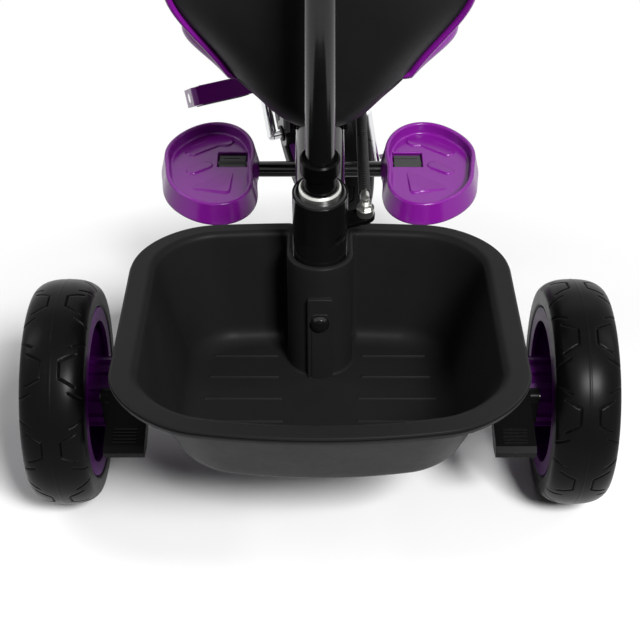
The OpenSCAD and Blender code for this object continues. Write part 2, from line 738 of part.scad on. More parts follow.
// Tray in its own frame: bar axis at the origin, inner edge at x = 0
tray_top = 24 * scale_unit;
tray_floor = 12 * scale_unit;
tray_t = 3 * scale_unit;
tray_boss_d = bar_d + 6 * scale_unit;
// Egg-shaped outline round five circles: places and radii as shares of the tray's width and length
outline_shares = [
    [0.51, 0.095, 0.39], [0.345, -0.035, 0.32], [0.53, -0.085, 0.47],
    [0.375, -0.425, 0.313], [0.455, -0.34, 0.415]
];
module tray_plan(inset) {
    hull()
        for (s = outline_shares)
            translate([s.x * tray_w, s.y * tray_len]) circle(r = s.z * tray_w - inset, $fn = 48);
}
// Skirt: the base stands out from the rim all round, and its sides lean in to the rim's outline
tray_flare = 4.5 * scale_unit;
tray_mid = [0.51 * tray_w, -0.138 * tray_len];
tray_draft = [0.912, 0.939];
function draft_at(z) = [1, 1] - z / tray_top * ([1, 1] - tray_draft);
module tray_skirt(inset, height) {
    translate(tray_mid) linear_extrude(height, scale = draft_at(height), slices = 1) translate(-tray_mid)
        tray_plan(inset - tray_flare);
}
// Raised pads under the foot: a long bar, a short bar and a rounded triangle, as shares of the tray
long_bar_shares = [[0.74, 0.09], [0.385, 0.215]];
short_bar_shares = [[0.7, -0.13], [0.56, -0.073]];
triangle_shares = [[0.59, -0.333], [0.335, -0.215], [0.345, -0.377]];
module tray_pad(places, r) {
    hull()
        for (p = places)
            translate([p.x * tray_w, p.y * tray_len]) circle(r = r, $fn = 24);
}
module tray_pads() {
    tray_pad(long_bar_shares, 0.073 * tray_w);
    tray_pad(short_bar_shares, 0.068 * tray_w);
    tray_pad(triangle_shares, 0.05 * tray_w);
}
module tray() {
    difference() {
        union() {
            difference() {
                tray_skirt(0, tray_top);
                translate([0, 0, tray_floor])
                    linear_extrude(tray_top - tray_floor + past) tray_plan(1.6 * tray_t);
                translate([0, 0, -past]) tray_skirt(tray_t, tray_floor - tray_t + past);
            }
            translate([0, 0, tray_floor - edge]) linear_extrude(2 * edge) tray_pads();
            cross_rod(0.3 * tray_t, window_in, tray_boss_d);
            cross_rod(window_in + window_w, bar_half - tray_in + tray_t, tray_boss_d);
        }
        translate([window_in, -window_l / 2, -tube_d]) cube([window_w, window_l, 2 * tube_d]);
        cross_rod(-tray_flare - past, bar_half - tray_in + air, bar_d + 2 * run_fit);
    }
}
module footrest_right() {
    color(purple) translate([tray_in, bar_y, bar_z]) rotate([tray_tilt, 0, 0]) tray();
}
module footrest_left() {
    mirror([1, 0, 0]) footrest_right();
}

// Brakes: a pedal that rocks on a pin and drives a finger between the drum's teeth
brake_y = -38 * scale_unit;
brake_z = axle_z + 24 * scale_unit;
brake_pin_d = 6 * scale_unit;
brake_boss_d = 14 * scale_unit;
brake_in = 146 * scale_unit;
brake_out = wheel_x + hub_in + 9 * scale_unit;
pedal_w = 34 * scale_unit;
pedal_len = 58 * scale_unit;
pedal_h = 16 * scale_unit;
pedal_drop = 0.45 * pedal_h;
finger_t = 5 * scale_unit;
finger_w = 9 * scale_unit;
nose_t = 4 * scale_unit;
nose_z = axle_z - brake_z - 0.4 * nose_t;
nose_len = -brake_y - drum_r - 0.75 * tooth_h;
housing_t = 5 * scale_unit;
// Height of the pedal's tread at a share of its length behind the pin
function pedal_top(t) = mix(0.5 * brake_boss_d, -pedal_drop, t);
module brake_pedal_right() {
    color(matt_black) translate([0, brake_y, brake_z]) difference() {
        union() {
            cross_rod(brake_in, brake_out, brake_boss_d);
            translate([brake_in, 0, 0]) rotate([90, 0, 90]) linear_extrude(pedal_w) polygon([
                [0, 0.5 * brake_boss_d], [-pedal_len, -pedal_drop], [-1.08 * pedal_len, -0.7 * pedal_h],
                [-1.04 * pedal_len, -1.1 * pedal_h], [-0.75 * pedal_len, -1.25 * pedal_h],
                [-0.2 * pedal_len, -0.5 * brake_boss_d], [0, -0.5 * brake_boss_d]
            ]);
            for (t = [0.73 : 0.057 : 0.96])
                translate([brake_in + 0.2 * pedal_w, -t * pedal_len, pedal_top(t) - edge / 2])
                    cube([0.6 * pedal_w, 0.03 * pedal_len, edge]);
            // Finger that hangs into the wheel behind the drum and ends in a nose
            translate([brake_out - finger_w, -finger_t / 2, nose_z - nose_t / 2])
                cube([finger_w, finger_t, -nose_z]);
            translate([brake_out - finger_w, 0, nose_z - nose_t / 2])
                cube([finger_w, nose_len, nose_t]);
        }
        cross_rod(brake_in - past, brake_out + past, brake_pin_d + 2 * run_fit);
    }
}
module brake_pedal_left() {
    mirror([1, 0, 0]) brake_pedal_right();
}
housing_x = brake_in - air - housing_t;
module brake_housings() {
    color(matt_black) both_sides() difference() {
        union() {
            translate([0, brake_y, brake_z]) cross_rod(housing_x, housing_x + housing_t, brake_boss_d);
            translate([0, 0, axle_z])
                cross_rod(axle_tube_half - plug_len, housing_x + housing_t, 1.5 * axle_tube_d);
            hull() {
                translate([0, brake_y, brake_z]) cross_rod(housing_x, housing_x + housing_t, brake_boss_d);
                translate([0, 0, axle_z]) cross_rod(housing_x, housing_x + housing_t, 1.5 * axle_tube_d);
            }
        }
        translate([0, 0, axle_z])
            cross_rod(0, housing_x + 2 * housing_t, axle_tube_d + 2 * seat_fit);
        translate([0, brake_y, brake_z])
            cross_rod(housing_x - past, housing_x + 2 * housing_t, brake_pin_d + 2 * seat_fit);
    }
}
module brake_pins() {
    color(zinc) translate([0, brake_y, brake_z]) both_sides() {
        cross_rod(housing_x - edge, brake_out + edge, brake_pin_d);
        cross_rod(housing_x - 2 * edge, housing_x - seat_fit, 1.6 * brake_pin_d);
    }
}

// Fork, in its own frame: Z along the steering axis, origin at the wheel's middle
leg_x = 39 * scale_unit;
leg_w = 15 * scale_unit;
leg_l = 24 * scale_unit;
crown_l = 34 * scale_unit;
crown_half = max(leg_x, lever_r) + 9 * scale_unit;
steerer_top = head_from + head_len + 34 * scale_unit;
stud_d = 6 * scale_unit;
stud_foot = crown_z + 0.4 * crown_h;
axle_bush_d = crank_d + 7 * scale_unit;
module fork() {
    color(gloss_black) at_steer() difference() {
        union() {
            translate([0, 0, crown_z]) soft_block(2 * crown_half, crown_l, crown_h, 0.4 * crown_l);
            translate([0, 0, crown_z]) cylinder(d = steerer_d, h = steerer_top - crown_z);
            translate([0, 0, crown_z])
                cylinder(d = head_d, h = head_from - crown_z - bush_lip - seat_fit - air);
            both_sides() {
                translate([leg_x, 0, 0]) soft_block(leg_w, leg_l, crown_z + 0.2 * crown_h, 0.4 * leg_w);
                cross_rod(leg_x - leg_w / 2, leg_x + leg_w / 2, 1.25 * leg_l);
            }
        }
        both_sides() cross_rod(leg_x - leg_w, leg_x + leg_w, axle_bush_d + 2 * seat_fit);
        translate([lever_r, 0, stud_foot]) cylinder(d = stud_d + 2 * seat_fit, h = crown_h);
        translate([0, 0, crown_z + 2 * crown_h]) cylinder(d = 0.7 * steerer_d, h = steerer_top);
    }
}
module fork_bushes() {
    color(matt_black) at_steer() both_sides()
        cross_ring(leg_x - leg_w / 2, leg_x + leg_w / 2 + edge, axle_bush_d, crank_d + 2 * run_fit);
}
nut_from = head_from + head_len + bush_lip + 2 * seat_fit + air;
module fork_nut() {
    color(zinc) at_steer() translate([0, 0, nut_from]) difference() {
        cylinder(d = 1.5 * steerer_d, h = 2 * bush_lip, $fn = 6);
        translate([0, 0, -past])
            cylinder(d = steerer_d + 2 * seat_fit, h = 2 * bush_lip + 2 * past, $fn = 48);
    }
}
eye_h = 7 * scale_unit;
eye_d = 15 * scale_unit;
arm_z = crown_z + crown_h + air + eye_h / 2;
// Linkage pin from a depth below the eye's middle up through the eye, with its nut above
module link_pin(below) {
    translate([0, 0, -below]) cylinder(d = stud_d, h = below + eye_h + 1.2 * stud_d);
    translate([0, 0, eye_h / 2 + air]) cylinder(d = 1.9 * stud_d, h = 0.8 * stud_d, $fn = 6);
}
module arm_stud() {
    color(zinc) at_steer() translate([lever_r, 0, arm_z]) link_pin(arm_z - stud_foot - seat_fit);
}

// Handlebar
bar_tube_d = 22 * scale_unit;
stem_z = steerer_top + 12 * scale_unit;
bar_mid_half = 45 * scale_unit;
bar_rise = 55 * scale_unit;
bar_spread = 105 * scale_unit;
bar_sweep = 40 * scale_unit;
bar_end = 185 * scale_unit;
stem_w = 52 * scale_unit;
grip_len = 74 * scale_unit;
mid_point = [bar_mid_half, 0, stem_z];
bend_point = [bar_spread, -0.3 * bar_sweep, stem_z + bar_rise];
end_point = [bar_end, -bar_sweep, stem_z + bar_rise];
grip_start = end_point + grip_len * unit(bend_point - end_point);
module handlebar() {
    color(gloss_black) at_steer() {
        translate([0, 0, stem_z]) cross_rod(-bar_mid_half, bar_mid_half, bar_tube_d);
        both_sides() {
            knuckle(mid_point, [1, 0, 0], bend_point - mid_point, bar_tube_d);
            rod(mid_point, bend_point, bar_tube_d);
            knuckle(bend_point, bend_point - mid_point, end_point - bend_point, bar_tube_d);
            rod(bend_point, end_point, bar_tube_d);
        }
    }
}
stem_h = stem_z + 0.85 * bar_tube_d - nut_from - 2 * bush_lip - seat_fit;
module stem() {
    color(matt_black) at_steer() difference() {
        translate([0, 0, nut_from + 2 * bush_lip + seat_fit])
            soft_block(stem_w, 1.8 * bar_tube_d, stem_h, 0.4 * bar_tube_d);
        translate([0, 0, stem_z]) cross_rod(-stem_w, stem_w, bar_tube_d + 2 * seat_fit);
        cylinder(d = steerer_d + 2 * seat_fit, h = steerer_top + seat_fit);
        for (p = stem_bolt_places)
            translate(p) cylinder(d = stud_d + 2 * seat_fit, h = stem_h, center = true);
    }
}
stem_bolt_places = [
    for (sx = [-1, 1], sy = [-1, 1])
        [sx * 0.34 * stem_w, sy * 0.72 * bar_tube_d, stem_z + 0.85 * bar_tube_d]
];
module stem_bolts() {
    color(zinc) at_steer() for (p = stem_bolt_places) translate(p) {
        translate([0, 0, -0.45 * stem_h]) cylinder(d = stud_d, h = 0.45 * stem_h + edge);
        translate([0, 0, seat_fit]) cylinder(d = 1.3 * stud_d, h = 0.5 * stud_d);
    }
}
grip_d = 1.5 * bar_tube_d;
grip_rings = 6;
module grip() {
    color(purple) along(end_point, grip_start) difference() {
        rotate_extrude() polygon(concat(
            [[0, -0.3 * bar_tube_d], [0.6 * grip_d, -0.3 * bar_tube_d]],
            [[0.66 * grip_d, 0], [0.6 * grip_d, 0.2 * bar_tube_d]],
            [for (i = [0 : 2 * grip_rings])
                [(i % 2 == 0 ? 0.47 : 0.5) * grip_d, mix(0.25 * bar_tube_d, grip_len, i / 2 / grip_rings)]],
            [[0, grip_len]]
        ));
        translate([0, 0, -seat_fit]) cylinder(d = bar_tube_d + 2 * seat_fit, h = 2 * grip_len);
    }
}
module grip_right() {
    at_steer() grip();
}
module grip_left() {
    at_steer() mirror([1, 0, 0]) grip();
}

// Front wheel with its crank
front_seat_r = bead_share * front_r;
front_hub_d = 34 * scale_unit;
front_rim_half = 0.8 * front_half_w;
spoke_count = 5;
module front_tyre() {
    color(tyre_black) at_steer() tyre(front_wheel_d, front_tyre_w);
}
hub_half = leg_x - leg_w / 2 - 2 * air;
module front_rim() {
    color(purple) at_steer() rotate([0, 90, 0]) difference() {
        union() {
            rotate_extrude($fn = 72) polygon([
                [front_seat_r - 2 * rim_wall, -front_rim_half], [front_seat_r - seat_fit, -front_rim_half],
                [front_seat_r - seat_fit, front_rim_half], [front_seat_r - 2 * rim_wall, front_rim_half],
                [front_seat_r - 1.2 * rim_wall, 0]
            ]);
            cylinder(d = front_hub_d, h = 2 * hub_half, center = true);
            for (i = [0 : spoke_count - 1])
                rotate(i * 360 / spoke_count)
                    translate([0, 0, -rim_wall])
                        linear_extrude(2 * rim_wall) polygon([
                            [0.42 * front_hub_d, -0.24 * front_hub_d],
                            [front_seat_r - rim_wall, -0.3 * front_hub_d],
                            [front_seat_r - rim_wall, 0.3 * front_hub_d],
                            [0.42 * front_hub_d, 0.24 * front_hub_d]
                        ]);
        }
        cylinder(d = crank_d + 2 * seat_fit, h = 4 * leg_x, center = true);
    }
}
// Crank rod: an axle with an arm at each end, one down and one up, and a pin for each pedal
arm_x = leg_x + leg_w / 2 + 12 * scale_unit;
pedal_x = arm_x + 12 * scale_unit;
pedal_pin = 74 * scale_unit;
crank_lean = 150;
// Rest pitch of the loose pedals, nose down
pedal_pitch = -40;
module crank_half() {
    cross_rod(0, arm_x, crank_d);
    knuckle([arm_x, 0, 0], [1, 0, 0], [0, 0, 1], crank_d);
    rod([arm_x, 0, 0], [arm_x, 0, crank_r], crank_d);
    knuckle([arm_x, 0, crank_r], [0, 0, 1], [1, 0, 0], crank_d);
    translate([0, 0, crank_r]) cross_rod(arm_x, pedal_x + pedal_pin, crank_d);
}
module at_crank() {
    at_steer() rotate([crank_lean, 0, 0]) children();
}
module crank() {
    color(chrome) at_crank() {
        crank_half();
        rotate([0, 0, 180]) mirror([0, 0, 1]) crank_half();
    }
}
pedal_block_l = 50 * scale_unit;
pedal_block_h = 20 * scale_unit;
pedal_tread = 3;
module pedal() {
    difference() {
        union() {
            translate([pedal_pin / 2, 0, -pedal_block_h / 2])
                soft_block(pedal_pin - 2 * air, pedal_block_l, pedal_block_h, 0.3 * pedal_block_h);
            for (i = [-1 : 1])
                translate([pedal_pin / 2, i * pedal_block_l / pedal_tread, 0])
                    translate([-0.36 * pedal_pin, -0.05 * pedal_block_l, -0.55 * pedal_block_h])
                        cube([0.72 * pedal_pin, 0.1 * pedal_block_l, 1.1 * pedal_block_h]);
        }
        cross_rod(-past, pedal_pin + past, crank_d + 2 * run_fit);
    }
}
module pedal_right() {
    color(purple) at_steer() translate(crank_end)
        translate([pedal_x + air, 0, 0]) rotate([pedal_pitch, 0, 0]) pedal();
}
crank_end = [0, -crank_r * sin(crank_lean), crank_r * cos(crank_lean)];
module pedal_left() {
    color(purple) at_steer() translate(-crank_end) mirror([1, 0, 0])
        translate([pedal_x + air, 0, 0]) rotate([pedal_pitch, 0, 0]) pedal();
}

// Push handle, in its own frame: Z along its axis, origin at the joint
collar_from = race_from + race_h + air;
collar_neck = 15 * scale_unit;
collar_h = 31 * scale_unit;
collar_d = 33 * scale_unit;
tee_d = 1.7 * handle_d;
tee_h = 62 * scale_unit;
top_bar_d = 22 * scale_unit;
top_bar_z = handle_len + 12 * scale_unit;
module handle_tube() {
    color(gloss_black) at_handle() difference() {
        union() {
            cylinder(d = handle_d, h = handle_len);
            translate([0, 0, -spigot_len]) cylinder(d = spigot_d, h = spigot_len + past);
            translate([0, 0, -0.25 * handle_d]) cylinder(d = handle_d, h = 0.25 * handle_d + past);
        }
        translate([0, 0, socket_top]) cylinder(d = handle_d - 2 * tube_wall, h = handle_len);
    }
}
module handle_collar() {
    color(matt_black) at_handle() translate([0, 0, collar_from]) difference() {
        rotate_extrude() polygon([
            [0, 0], [0.42 * collar_d, 0], [0.42 * collar_d, collar_neck - edge],
            [collar_d / 2, collar_neck + edge], [collar_d / 2, collar_h - edge],
            [collar_d / 2 - edge, collar_h], [0, collar_h]
        ]);
        translate([0, 0, -past]) cylinder(d = handle_d + 2 * seat_fit, h = collar_h + 2 * past);
    }
}
module steering_lever() {
    color(matt_black) at_handle() difference() {
        union() {
            cylinder(d = 1.36 * handle_d, h = lever_t);
            translate([0, -lever_w / 2, 0]) cube([lever_r, lever_w, lever_t]);
            translate([lever_r, 0, 0]) cylinder(d = lever_w, h = lever_t);
        }
        translate([0, 0, -past]) cylinder(d = handle_d + 2 * seat_fit, h = lever_t + 2 * past);
        translate([lever_r, 0, -past]) cylinder(d = stud_d + 2 * seat_fit, h = lever_t + 2 * past);
    }
}
eye_z = lever_t + air + eye_h / 2;
module lever_bolt() {
    color(zinc) at_handle() translate([lever_r, 0, 0]) {
        translate([0, 0, eye_z]) link_pin(eye_z + seat_fit);
        translate([0, 0, -0.7 * stud_d - seat_fit]) cylinder(d = 1.9 * stud_d, h = 0.7 * stud_d, $fn = 6);
    }
}
module handle_tee() {
    color(matt_black) at_handle() difference() {
        union() {
            translate([0, 0, top_bar_z + 0.8 * top_bar_d - tee_h]) rotate_extrude() polygon([
                [0, 0], [0.4 * tee_d, 0], [tee_d / 2, 0.6 * tee_h], [tee_d / 2, tee_h - edge],
                [tee_d / 2 - edge, tee_h], [0, tee_h]
            ]);
            translate([0, 0, top_bar_z]) cross_rod(-0.9 * tee_d, 0.9 * tee_d, 1.4 * top_bar_d);
        }
        translate([0, 0, -tee_h]) cylinder(d = handle_d + 2 * seat_fit, h = handle_len + tee_h + seat_fit);
        translate([0, 0, top_bar_z]) cross_rod(-tee_d, tee_d, top_bar_d + 2 * seat_fit);
    }
}
module handle_bar() {
    color(gloss_black) at_handle() translate([0, 0, top_bar_z])
        cross_rod(-handle_bar_w / 2, handle_bar_w / 2, top_bar_d);
}
foam_d = 1.5 * top_bar_d;
foam_len = handle_bar_w / 2 - 0.95 * tee_d + 2 * edge;
module handle_grips() {
    color(foam_black) at_handle() translate([0, 0, top_bar_z]) both_sides() difference() {
        translate([0.95 * tee_d, 0, 0]) rotate([0, 90, 0]) rotate_extrude() polygon([
            [0, 0], [foam_d / 2 - edge, 0], [foam_d / 2, edge],
            [foam_d / 2, foam_len - 2 * edge], [foam_d / 2 - edge, foam_len], [0, foam_len]
        ]);
        cross_rod(0, handle_bar_w / 2 + seat_fit, top_bar_d + 2 * seat_fit);
    }
}

// Steering rod between the two levers, with a ribbed sleeve
rod_a = on_handle([lever_r, 0, eye_z]);
rod_b = on_steer([lever_r, 0, arm_z]);
rod_span = norm(rod_b - rod_a);
rod_dir = unit(rod_b - rod_a);
rod_d = 6 * scale_unit;
shank_d = 8 * scale_unit;
shank_len = 26 * scale_unit;
// Width of the flats that let the shank pass over the lever at full lock
shank_flat_d = 1.54 * lever_w;
sleeve_r = 5.2 * scale_unit;
rib_step = 4 * scale_unit;
sleeve_from = shank_len + seat_fit;
sleeve_ribs = floor((rod_span - 2 * sleeve_from) / rib_step);
module steering_rod() {
    color(zinc) rod(rod_a + 0.5 * shank_len * rod_dir, rod_b - 0.5 * shank_len * rod_dir, rod_d);
}
module rod_end(p, q) {
    v = unit(q - p);
    difference() {
        union() {
            translate(p) rotate([lean, 0, 0]) cylinder(d = eye_d, h = eye_h, center = true);
            rod(p, p + shank_len * v, shank_d);
        }
        translate(p) rotate([lean, 0, 0]) cylinder(d = stud_d + 2 * run_fit, h = 3 * eye_h, center = true);
        rod(p + (0.5 * shank_len - seat_fit) * v, p + 2 * shank_len * v, rod_d + 2 * seat_fit);
        // The shank is cut flat where it would pass above or below the eye
        for (s = [0, 1])
            translate(p) rotate([lean, 0, 0]) mirror([0, 0, s])
                translate([0, 0, eye_h / 2]) cylinder(d = shank_flat_d, h = eye_d);
    }
}
module rod_ends() {
    color(zinc) {
        rod_end(rod_a, rod_b);
        rod_end(rod_b, rod_a);
    }
}
module rod_sleeve() {
    bore = (rod_d / 2 + seat_fit) / cos(180 / 8);
    length = sleeve_ribs * rib_step;
    color(matt_black)
        along(rod_a + (rod_span - length) / 2 * rod_dir, rod_b)
            rotate_extrude($fn = 8) polygon(concat(
                [for (i = [0 : sleeve_ribs - 1]) each [
                    [0.82 * sleeve_r, i * rib_step], [sleeve_r, (i + 0.5) * rib_step]]],
                [[0.82 * sleeve_r, length], [bore, length], [bore, 0]]
            ));
}

module rear_tyre_right() { on_right_wheel() rear_tyre(); }
module rear_rim_right() { on_right_wheel() rear_rim(); }
module rear_bush_right() { on_right_wheel() rear_bush(); }
module rear_cap_right() { on_right_wheel() rear_cap(); }
module rear_tyre_left() { on_left_wheel() rear_tyre(); }
module rear_rim_left() { on_left_wheel() rear_rim(); }
module rear_bush_left() { on_left_wheel() rear_bush(); }
module rear_cap_left() { on_left_wheel() rear_cap(); }

frame();
rear_axle();
axle_plugs();
axle_spacers();
axle_nuts();
basket();
basket_screw();
post_cup();
post_race();
post_bush();
head_bushes();
seat_shell();
seat_trim();
seat_cushion();
back_cushion();
seat_bracket();
seat_bolts();
footrest_strut();
footrest_bar();
footrest_clips();
brake_housings();
brake_pins();
rear_tyre_left();
rear_rim_left();
rear_bush_left();
rear_cap_left();
rear_tyre_right();
rear_rim_right();
rear_bush_right();
rear_cap_right();
brake_pedal_left();
brake_pedal_right();
fork();
fork_nut();
fork_bushes();
arm_stud();
handlebar();
stem();
stem_bolts();
grip_left();
grip_right();
front_tyre();
front_rim();
crank();
pedal_left();
pedal_right();
handle_tube();
handle_collar();
steering_lever();
lever_bolt();
handle_tee();
handle_bar();
handle_grips();
steering_rod();
rod_sleeve();
rod_ends();
footrest_left();
footrest_right();
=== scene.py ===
# %% [markdown]
# # Dressing a toddler's push-along trike
# The solids of the trike come from a CAD model and stay where they are. This script gives each of them
# its finish. Where a plain solid is too coarse for the eye, it works out a finer surface in its place.
# Sizes are in millimetres, as on a workshop drawing, and become metres when a mesh is made.

# %% Load the solids
import math

import bmesh
import bpy
import numpy as np
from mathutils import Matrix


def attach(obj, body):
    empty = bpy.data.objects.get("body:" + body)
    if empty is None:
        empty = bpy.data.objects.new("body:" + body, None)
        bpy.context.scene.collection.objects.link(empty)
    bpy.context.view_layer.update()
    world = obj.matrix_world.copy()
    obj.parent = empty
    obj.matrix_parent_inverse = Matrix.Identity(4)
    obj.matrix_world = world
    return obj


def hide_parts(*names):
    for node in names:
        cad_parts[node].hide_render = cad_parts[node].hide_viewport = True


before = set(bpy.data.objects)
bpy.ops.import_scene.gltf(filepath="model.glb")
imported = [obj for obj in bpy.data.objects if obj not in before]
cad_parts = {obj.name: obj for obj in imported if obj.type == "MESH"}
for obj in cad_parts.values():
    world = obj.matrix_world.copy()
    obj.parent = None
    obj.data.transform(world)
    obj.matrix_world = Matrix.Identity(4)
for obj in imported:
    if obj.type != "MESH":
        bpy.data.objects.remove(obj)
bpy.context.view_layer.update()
scene = bpy.context.scene

# %% [markdown]
# ## Camera
# The photograph looks down on the trike from behind, 35 degrees below the horizon, with a long lens.
# A camera that is turned by 90 degrees about X looks along +Y, so 55 degrees looks down by 35. The place
# and the focal length, 1400 pixels in a picture of 640, were fitted to the wheels and the basket.

# %% Camera
LOOK_DOWN = 35
FOCAL_PIXELS, PICTURE_PIXELS = 1400, 640
camera = bpy.data.objects.new("camera", bpy.data.cameras.new("camera"))
camera.location = (0, -0.9876, 0.8689)
camera.rotation_euler = (math.radians(90 - LOOK_DOWN), 0, 0)
camera.data.sensor_width = 36
camera.data.lens = camera.data.sensor_width * FOCAL_PIXELS / PICTURE_PIXELS
scene.collection.objects.link(camera)
scene.camera = camera
print("camera lens", camera.data.lens)

# %% [markdown]
# ## From grids of points to pieces
# Every new surface below is a grid of points: rows along one parameter and columns along the other.
# A direction may be round, so that its last line joins its first, as on a tyre. Lids close a tube's ends.
# Several grids can share one mesh, because a moulding often has ribs and tabs that stand on its main skin.
# The same shapes could be modelled by hand, but a formula keeps every size where it can be read.

# %% Grids to meshes
MM = 0.001


def grid_faces(rows, cols, round_rows, round_cols, first):
    """Quads between the neighbours of a grid whose points are numbered row by row from first."""
    quad_rows, quad_cols = rows - (not round_rows), cols - (not round_cols)
    i, j = np.meshgrid(np.arange(quad_rows), np.arange(quad_cols), indexing="ij")
    i2, j2 = (i + 1) % rows, (j + 1) % cols
    quads = np.stack([i * cols + j, i2 * cols + j, i2 * cols + j2, i * cols + j2], -1)
    return first + quads.reshape(-1, 4)


def build_piece(name, skins, body, node, sharp=40, groove=None):
    """One piece from skins of (points, round rows, round columns, lids), with its faces turned outwards.
    Edges sharper than an angle in degrees stay crisp; groove holds a value for each point."""
    faces, first = [], 0
    for points, round_rows, round_cols, lids in skins:
        rows, cols = points.shape[:2]
        faces += grid_faces(rows, cols, round_rows, round_cols, first).tolist()
        if lids:
            faces.append((first + np.arange(cols)).tolist())
            faces.append((first + (rows - 1) * cols + np.arange(cols)).tolist())
        first += rows * cols
    every = np.concatenate([skin[0].reshape(-1, 3) for skin in skins]) * MM
    mesh = bpy.data.meshes.new(name)
    mesh.from_pydata(every.tolist(), [], faces)
    if groove is not None:
        mesh.attributes.new("groove", "FLOAT", "POINT").data.foreach_set("value", groove.ravel())
    work = bmesh.new()
    work.from_mesh(mesh)
    bmesh.ops.remove_doubles(work, verts=work.verts, dist=1e-6)
    bmesh.ops.recalc_face_normals(work, faces=work.faces)
    work.to_mesh(mesh)
    work.free()
    mesh.shade_smooth()
    mesh.set_sharp_from_angle(angle=math.radians(sharp))
    piece = bpy.data.objects.new(name, mesh)
    scene.collection.objects.link(piece)
    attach(piece, body)
    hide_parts(node)
    print(name, len(mesh.polygons), "faces")
    return piece


print("one millimetre is", MM, "m")

# %% [markdown]
# ## Basket
# The basket is one moulding of matt black plastic. Its walls lean out from a flat floor to a wide rim with
# a stepped double lip, and a channel at the front wraps round the frame's post. A box with a cut would look
# hard, so the shape is made as level lines: each line goes round the walls and in along the channel, and a
# profile of offsets and heights carries it from the floor, over the rim and down the outside.

# %% Level lines of the basket
POST_Y, FLOOR_Z, RIM_Z = 27.0, 118.0, 230.0
CHANNEL_R, CHANNEL_WALL = 22.9, 5.6
FRONT_BOW, REAR_BOW = 0.07, 0.17


def level_lines(half_w, front, back, corner, channel, notch):
    """Level lines, one for each value of the arrays. From the middle of the rear edge a line follows
    straights and quarter rounds to the front edge, turns in by the notch radius and goes round the post;
    the other half is its mirror image. Front and rear edges bow by a share of (x / half width) squared.
    Comes with each point's share in the channel, which eases from 0 to 1 along the notch."""
    sizes = (half_w, front, back, corner, channel, notch)
    half_w, front, back, corner, channel, notch = (np.asarray(v, float)[:, None] for v in sizes)

    def straight(x0, y0, x1, y1, n):
        t = np.linspace(0, 1, n, endpoint=False)
        return np.stack(np.broadcast_arrays(x0 + (x1 - x0) * t, y0 + (y1 - y0) * t), -1)

    def quarter(x, y, r, start, end, n, last=False):
        a = np.radians(np.linspace(start, end, n, endpoint=last))
        return np.stack([x + r * np.cos(a), y + r * np.sin(a)], -1)

    zero = 0 * half_w
    walls = np.concatenate([
        straight(zero, -back, half_w - corner, -back, 26),
        quarter(half_w - corner, corner - back, corner, -90, 0, 30),
        straight(half_w, corner - back, half_w, front - corner, 20),
        quarter(half_w - corner, front - corner, corner, 0, 90, 30),
        straight(half_w - corner, front, channel + notch, front, 24)], 1)
    turn_in = quarter(channel + notch, front - notch, notch, 90, 180, 12)
    round_post = np.concatenate([
        straight(channel, front - notch, channel, zero + POST_Y, 6),
        quarter(zero, zero + POST_Y, channel, 0, -90, 26, last=True)], 1)
    right = np.concatenate([walls, turn_in, round_post], 1)
    x, y = right[..., 0], right[..., 1]
    middle, s = (front - back) / 2, (x / half_w) ** 2
    y = np.where(y >= middle, y - FRONT_BOW * s * (y - middle), y + REAR_BOW * s * (middle - y))
    line = np.stack([x, y], -1)
    t = np.linspace(0, 1, turn_in.shape[1])
    share = np.concatenate([np.zeros(walls.shape[1]), t ** 2 * (3 - 2 * t), np.ones(round_post.shape[1])])
    return np.concatenate([line, line[:, -2:0:-1] * [-1, 1]], 1), np.concatenate([share, share[-2:0:-1]])


print("channel wall", CHANNEL_WALL, "mm")

# %% [markdown]
# The profile is listed from the edge of the floor outwards, because the skin is one sheet that folds over
# the rim. A plain list of corners would give hard creases, so quarter rounds of nine levels join the longer
# stretches. The channel has heights of its own, since its edges have smaller rounds than the rim's.

# %% Profile of the basket
FLOOR_ROUND, RIM_ROUND, EDGE_ROUND, POST_ROUND, LIP_ROUND = 15, 5, 2.5, 2.4, 0.9
RIM_OUT, RIM_DROP, LIP_OUT, LIP_Z = 15.5, 0.5, 18.6, 225.8
WALL, WALL_TOP, POST_TOP, UNDER_ROUND, POST_UNDER = 3, 225, 219, 12, 7
profile = []


def mix(a, b, t):
    """The value a share t of the way from a to b."""
    return a + (b - a) * t


def add_levels(out, z, channel, channel_z, notch):
    """Levels with an offset outwards from the inner wall and a height; round the post they have a radius and
    a height of their own, and they turn in to it by the notch radius."""
    values = (np.atleast_1d(np.asarray(v, float)) for v in (out, z, channel, channel_z, notch))
    profile.append(np.stack(np.broadcast_arrays(*values), -1))


quarter_turn = np.radians(np.linspace(0, 90, 9))
bend, rest = np.sin(quarter_turn), 1 - np.cos(quarter_turn)
h = np.linspace(0, 1, 14)[1:-1]
wall_r = CHANNEL_R + CHANNEL_WALL
# Inside: the round of the floor, the wall and the round into the rim.
add_levels(-FLOOR_ROUND * (1 - bend), FLOOR_Z + FLOOR_ROUND * rest,
           wall_r + EDGE_ROUND * (1 - bend), FLOOR_Z + EDGE_ROUND * rest, 5)
add_levels(0, mix(FLOOR_Z + FLOOR_ROUND, RIM_Z - RIM_ROUND, h),
           wall_r, mix(FLOOR_Z + EDGE_ROUND, RIM_Z - EDGE_ROUND, h), 5)
add_levels(RIM_ROUND * rest, RIM_Z - RIM_ROUND + RIM_ROUND * bend,
           wall_r - POST_ROUND * rest, RIM_Z - POST_ROUND + POST_ROUND * bend, 5)
# The rim and its outer edge.
add_levels(mix(RIM_ROUND, RIM_OUT, h), mix(RIM_Z, RIM_Z - RIM_DROP, h),
           wall_r - EDGE_ROUND, RIM_Z, mix(5, 4, h))
add_levels(RIM_OUT + EDGE_ROUND * bend, RIM_Z - RIM_DROP - EDGE_ROUND * rest,
           CHANNEL_R + EDGE_ROUND * (1 - bend), RIM_Z - EDGE_ROUND * rest, 4)
